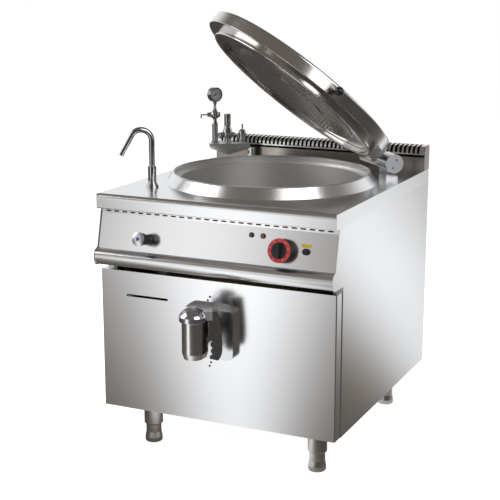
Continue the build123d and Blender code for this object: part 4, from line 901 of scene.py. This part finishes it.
@dataclass
class Controls:
    """Thermostat, lamps, reset and water tap head on the fascia."""

    layout: Layout
    thermostat: tuple[float, float] = (0.228, 0.726)
    scale_ticks: int = 41
    scale_figures: int = 9
    scale_first: float = 240.0
    scale_sweep: float = 300.0
    lamps: tuple = ((0.123, "pilot_lamp_green", (0.0, 0.115, 0.055)),
                    (0.1605, "pilot_lamp_amber", (0.30, 0.07, 0.003)))
    lamp_z: float = 0.7627
    water: tuple[float, float] = (-0.229, 0.717)
    plate_at: tuple[float, float] = (0.301, 0.747)

    def build(self) -> None:
        """Dresses the controls and adds their printed and fluted pieces."""
        black = MouldedPlastic("control_black").make()
        dress(black, "thermostat_body", "reset_bezel", "reset_button")
        self.knob(black)
        self.scale()
        for x, node, tone in self.lamps:
            centre = self.layout.on_fascia(x, self.lamp_z, 0.001).origin
            dress(LampLens(node + "_lens", tone, tuple(centre)).make(), node)
        self.tap_head()
        self.label()

    def knob(self, black: bpy.types.Material) -> None:
        """Fluted thermostat knob with its finger bar."""
        at = self.layout.on_fascia(*self.thermostat)

        def flutes(angle: float, height: float) -> float:
            """Shallow flutes round the skirt."""
            return 1.0 - 0.012 * (0.5 + 0.5 * math.cos(angle * 40)) if 3 < height < 27 else 1.0

        skirt = Maker.lathe("thermostat_skirt", ((0, 1.0), (34.6, 1.0), (35.9, 2.2), (35.9, 5), (35.6, 26),
                                                (35.6, 28.2), (25.2, 28.4), (24.4, 28.6), (24.4, 31.2),
                                                (23.6, 31.9), (0, 31.9)), at, 160, flutes)
        piece = Maker.add(skirt, black, "thermostat", "black_plastic")
        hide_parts("thermostat_knob")
        raised = Axes(at.origin + at.out * 0.0315, at.out, at.right)
        bar = Maker.plate("thermostat_bar", Maker.rounded(10.6, 46, 4.5), 14.2, raised, 0.9)
        Maker.add(bar, black, "thermostat", "black_plastic")

    def scale(self) -> None:
        """White ticks and figures on the red ring."""
        dress(Enamel("scale_red", (0.62, 0.035, 0.045), 0.32).make(), "thermostat_scale")
        at = self.layout.on_fascia(*self.thermostat, 0.0305)
        white = Enamel("scale_white", (0.75, 0.72, 0.70), 0.4).make()
        ticks = [(self.scale_first - self.scale_sweep * i / (self.scale_ticks - 1),
                  33.2 if i % 5 else 32.0, 35.0, 0.5) for i in range(self.scale_ticks)]
        Maker.add(Maker.strokes("scale_ticks", ticks, 0.12, at), white, "thermostat", "dial_white", False)
        marks = []
        for i in range(self.scale_figures):
            a = math.radians(self.scale_first - self.scale_sweep * i / (self.scale_figures - 1))
            marks.append((str(i), 28.8 * math.cos(a), 28.8 * math.sin(a), a - math.pi / 2))
        Maker.add(Maker.figures("scale_figures", marks, 6.4, at), white, "thermostat", "dial_white", False)

    def tap_head(self) -> None:
        """Water tap head: a black faceted grip with a bright face and its blue index."""
        at = self.layout.on_fascia(*self.water)

        def facets(angle: float, height: float) -> float:
            """Eight flats round the grip."""
            if height < 18 or height > 51:
                return 1.0
            step = math.pi / 4
            return math.cos(step / 2) / math.cos(angle % step - step / 2)

        outline = ((0, 9.2), (14.5, 9.2), (15, 10), (15, 15), (17.6, 16.2), (19.2, 18.5), (21.0, 50.5),
                   (20.4, 51.8), (0, 51.8))
        grip = Maker.lathe("water_tap_grip", outline, at, 96, facets)
        black = MouldedPlastic("tap_grip_black", (0.014, 0.014, 0.015), 0.22, 0.00002).make()
        piece = Maker.add(grip, black, "water_handle", "chrome")
        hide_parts("water_knob")
        bright = PlatedMetal("tap_face_chrome", (0.86, 0.87, 0.90), 0.30, 0.08).make()
        outline = ((0, 51.8), (20.2, 51.8), (20.9, 52.5), (20.9, 53.6), (17.5, 55.4), (6.4, 55.9),
                   (5.8, 55.3), (0, 55.3))
        face = Maker.lathe("water_tap_face", outline, at, 72)
        Maker.add(face, bright, "water_handle", "chrome")
        index_at = Axes(at.origin + at.out * 0.0553, at.out, at.right)
        index = Maker.lathe("water_index", ((5.6, 0), (5.6, 0.25), (4.4, 0.6), (0, 0.6)), index_at, 40)
        Maker.add(index, Enamel("index_blue", (0.03, 0.10, 0.42), 0.25).make(), "water_handle", "chrome")
        dress(PlatedMetal("valve_nickel", (0.46, 0.46, 0.47), 0.18, 0.15).make(), "water_valve_body",
              "level_tap_body")
        dress(PlatedMetal("copper_pipe", (0.55, 0.24, 0.13), 0.28, 0.2).make(), "water_pipes")

    def label(self) -> None:
        """Bare yellow plate over the reset."""
        at = self.layout.on_fascia(*self.plate_at)
        plate = Maker.plate("reset_plate", Maker.rounded(29, 10, 1.0, 3), 0.8, at, 0.15)
        Maker.add(plate, Enamel("plate_yellow", (0.78, 0.58, 0.01), 0.3).make(), "cabinet",
                  "dial_white", False)


class Drain:
    """Outlet tap, its handle and cover, and the level tap's lever."""

    def build(self) -> None:
        """Dresses the outlet."""
        dress(PlatedMetal("drain_chrome", (0.66, 0.65, 0.64), 0.12, 0.08).make(), "drain_tap_body")
        dress(PlatedMetal("drain_dome_chrome", (0.60, 0.61, 0.68), 0.10, 0.08).make(), "drain_plug")
        dress(SteelSheet("arm_satin", (0.80, 0.81, 0.82), Grain.NONE, 0.42, 0.3).make(), "drain_handle_arm")
        dress(Enamel("screw_black", (0.010, 0.010, 0.011), 0.4).make(), "drain_cover_screws")
        dress(SteelSheet("cover_steel", (0.66, 0.66, 0.665), Grain.UPRIGHT, 0.24).make(), "drain_cover",
              "level_tap_lever")
        dress(MouldedPlastic("grip_black", (0.058, 0.056, 0.055), 0.40).make(), "drain_handle_grip")


class Spout:
    """Swivelling spout, the lid's knob and the cable gland."""

    def build(self) -> None:
        """Dresses the chromed tubes, the ball knob and the cable gland."""
        chrome = PlatedMetal("spout_chrome", (0.50, 0.50, 0.51), 0.09, 0.10).make()
        dress(chrome, "spout_base", "spout_pipe", "lid_knob_stem")
        dress(MouldedPlastic("ball_black", (0.015, 0.015, 0.016), 0.12, 0.00001).make(), "lid_knob")
        dress(MouldedPlastic("gland_black").make(), "cable_gland")


# ---------------- studio
@dataclass(frozen=True)
class Strip:
    """Bright strip of painted light along the floor, as a tall soft lamp would throw it.

    Attributes:
        start: a floor point on the strip's middle, in metres.
        along: unit vector along it, away from the object.
        strength: its brightness.
        width: half-width of its core at the object.
        spread: how much that grows with each metre.
        gains: factors on the strength at the object and far from it; the lower one at the object is painted
            shade.
        far: distance at which the second of them holds.
        halo: brightness of the wide glow about the core.
        halo_fall: how fast the glow falls off sideways.
        fade: distance over which the strip fades in at the object, as painted shade.
    """

    start: tuple[float, float]
    along: tuple[float, float]
    strength: float
    width: float = 0.08
    spread: float = 0.09
    gains: tuple[float, float] = (0.8, 1.35)
    far: float = 3.0
    halo: float = 0.15
    halo_fall: float = 0.06
    fade: float = 0.3

    def over(self, g: Graph, at: Port) -> Port:
        """Brightness of the strip at a floor point, as a port."""
        reach = g.vector("DOT_PRODUCT", at, (*self.along, 0.0), out="Value")
        side = g.vector("DOT_PRODUCT", g.vector("SUBTRACT", at, (*self.start, 0.0)),
                        (self.along[1], -self.along[0], 0.0), out="Value")
        ratio = side / (reach.math("MAXIMUM", 0.0) * self.spread + self.width)
        square = ratio * ratio
        painted_light_core = (square * -0.5).math("EXPONENT")
        glow = (square * -self.halo_fall).math("EXPONENT")
        near, away = (self.strength * gain for gain in self.gains)
        level = painted_light_core * reach.ramp(0.0, self.far, near, away) + glow * self.halo
        return level * reach.ramp(-self.fade, self.fade)


@dataclass(frozen=True)
class Lamp:
    """Soft square lamp.

    Attributes:
        name: its name.
        place: where it hangs.
        target: the point that it faces.
        size: length of its side.
        power: its power in watts.
        mirrored: whether metal mirrors it.
    """

    name: str
    place: Point
    target: Point
    size: float
    power: float
    mirrored: bool = True

    def hang(self) -> None:
        """Adds the lamp to the scene."""
        data = bpy.data.lights.new(self.name, "AREA")
        data.size = self.size
        data.energy = self.power
        lamp = bpy.data.objects.new(self.name, data)
        lamp.location = self.place
        lamp.visible_glossy = self.mirrored
        aim = Vector(self.target) - Vector(self.place)
        lamp.rotation_euler = aim.to_track_quat("-Z", "Y").to_euler()
        bpy.context.scene.collection.objects.link(lamp)


@dataclass
class Studio:
    """Floor, background, lamps and camera.

    Attributes:
        camera_at: where the camera stands.
        yaw: its turn about the vertical, in degrees.
        pitch: its tilt, in degrees.
        focal_px: its focal length in pixels of an image that is image_px wide.
        image_px: that width.
        sensor: width of its sensor in millimetres.
        floor_tone: grey of the floor.
        camera_lift: light that the floor adds towards the camera.
        floor_glow: what metal mirrors of the floor away from the strips.
        mirror_share: how far that stands in for the lit floor in metal.
        strips: the floor's strips of painted light.
        warm: tint of dim surroundings.
        cool: tint of bright ones.
        band: heights between which the horizon fades.
        levels: brightness of the horizon behind the object and of the part above it.
        back_edge: where the back's horizon begins.
        front_edge: how near to the lobe the front's horizon rises.
        front_levels: its brightness away from the lobe and at it.
        lobe_azimuth: direction of the bright lobe, in degrees.
        lobe_edge: sharpness of its sides.
        lobe_band: heights between which it fades.
        lobe_level: its brightness.
        lamps: the lamps.
    """

    camera_at: Point = (1.5949, -3.6057, 1.5356)
    yaw: float = 24.91
    pitch: float = -13.15
    focal_px: float = 1210.7
    image_px: float = 500.0
    sensor: float = 36.0
    floor_tone: float = 0.84
    camera_lift: float = 0.80
    floor_glow: float = 0.06
    mirror_share: float = 0.94
    strips: tuple = (Strip((-0.16, -0.906), (-0.438, -0.899), 1.15),
                     Strip((0.80, 1.50), (0.4526, 0.8917), 0.85))
    warm: Colour = (1.0, 0.88, 0.77)
    cool: Colour = (0.98, 0.99, 1.0)
    band: tuple[float, float] = (0.26, 0.58)
    levels: tuple[float, float] = (1.05, 0.18)
    back_edge: tuple[float, float] = (-0.35, 0.15)
    front_edge: tuple[float, float] = (0.80, 0.98)
    front_levels: tuple[float, float] = (0.10, 0.26)
    lobe_azimuth: float = -27.5
    lobe_edge: tuple[float, float] = (0.9962, 0.9992)
    lobe_band: tuple[float, float] = (0.25, 0.60)
    lobe_level: float = 1.35
    lamps: tuple = (Lamp("key", (-4.3, -1.9, 3.2), (0.0, 0.0, 0.6), 3.4, 85.0),
                    Lamp("fill", (3.4, -2.2, 3.0), (0.1, 0.0, 0.7), 3.2, 85.0),
                    Lamp("top", (-0.4, 0.8, 4.4), (0.0, 0.0, 0.8), 3.6, 65.0, False))

    def build(self) -> None:
        """Builds the studio."""
        self.floor()
        self.world()
        for lamp in self.lamps:
            lamp.hang()
        self.camera()

    def floor(self) -> None:
        """Pale floor: white to the camera but for the shadow, and with strips of painted light to metal."""
        bm = bmesh.new()
        bmesh.ops.create_grid(bm, x_segments=8, y_segments=8, size=14)
        mesh = bpy.data.meshes.new("floor")
        bm.to_mesh(mesh)
        bm.free()
        floor = bpy.data.objects.new("floor", mesh)
        floor.location.z = -0.0005
        bpy.context.scene.collection.objects.link(floor)
        g = Graph("floor_pale")
        at = g.place()
        tone = g.noise(at, 1.2, 2.0).ramp(0.2, 0.8, self.floor_tone - 0.01, self.floor_tone + 0.01)
        matt = g.node("BsdfDiffuse", None, {"Color": g.grey(tone)})
        to_camera = g.node("LightPath", out="Is Camera Ray")
        to_metal = g.node("LightPath", out="Is Glossy Ray")
        through = g.node("LightPath", out="Is Transmission Ray")
        lift = g.node("Emission", None, {"Strength": (to_camera + through) * self.camera_lift})
        lit = g.node("AddShader", None, {0: matt, 1: lift})
        # what metal mirrors of the floor is painted light: emission strips that fade near the object as
        # painted shade
        left, right = (strip.over(g, at) for strip in self.strips)
        glow = left + right + self.floor_glow
        mirrored = g.node("Emission", None, {"Color": self.tint(g, glow), "Strength": glow})
        seen = g.node("MixShader", None, {0: to_metal * self.mirror_share, 1: lit, 2: mirrored})
        mesh.materials.append(g.close(seen))
        g.owner.cycles.emission_sampling = "NONE"

    def tint(self, g: Graph, level: Port) -> Port:
        """Warm where a surrounding is dim, neutral where it is bright."""
        return g.mix(level.ramp(0.05, 0.75), self.warm, self.cool)

    def world(self) -> None:
        """White to the camera; to everything else a bright horizon, a brighter lobe and a dim upper part."""
        g = Graph("studio", sky=True)
        bpy.context.scene.world = g.owner
        look = g.node("TexCoord", out="Generated")
        up, away = (g.node("SeparateXYZ", None, {0: look}, axis) for axis in "ZY")
        low = up.ramp(*self.band, 1.0, 0.0)
        flat = g.vector("NORMALIZE", g.vector("MULTIPLY", look, (1.0, 1.0, 0.0)))
        turn = math.radians(self.lobe_azimuth)
        near = g.vector("DOT_PRODUCT", flat, (math.sin(turn), -math.cos(turn), 0.0), out="Value")
        lobe = near.ramp(*self.lobe_edge) * up.ramp(*self.lobe_band, self.lobe_level, 0.0)
        front = near.ramp(*self.front_edge, *self.front_levels)
        back = away.ramp(*self.back_edge)
        at_back, above = self.levels
        horizon = (back * at_back + (1.0 - back) * front) * low
        level = horizon + (1.0 - low) * above + lobe
        sky = g.node("Background", None, {"Color": self.tint(g, level), "Strength": level})
        white = g.node("Background", None, {"Color": (1.0, 1.0, 1.0, 1.0), "Strength": 1.0})
        seen = g.node("LightPath", out="Is Camera Ray")
        g.close(g.node("MixShader", None, {0: seen, 1: sky, 2: white}))

    def camera(self) -> None:
        """Camera of the main view."""
        data = bpy.data.cameras.new("camera")
        data.sensor_width = self.sensor
        data.lens = self.focal_px / self.image_px * self.sensor
        data.clip_end = 60.0
        camera = bpy.data.objects.new("camera", data)
        camera.location = self.camera_at
        camera.rotation_euler = (math.radians(90 + self.pitch), 0, math.radians(self.yaw))
        bpy.context.scene.collection.objects.link(camera)
        bpy.context.scene.camera = camera


def main() -> None:
    """Builds the dressing and the studio."""
    logging.basicConfig(level=logging.INFO, format="%(name)s: %(message)s")
    layout = Layout()
    for part in (Cabinet(), Pan(layout), Lid(layout), Fittings(layout), Controls(layout), Drain(), Spout(),
                 Studio()):
        log.info("building %s", type(part).__name__)
        part.build()
    scene = bpy.context.scene
    scene.view_settings.view_transform = "Standard"


if __name__ == "__main__":
    main()
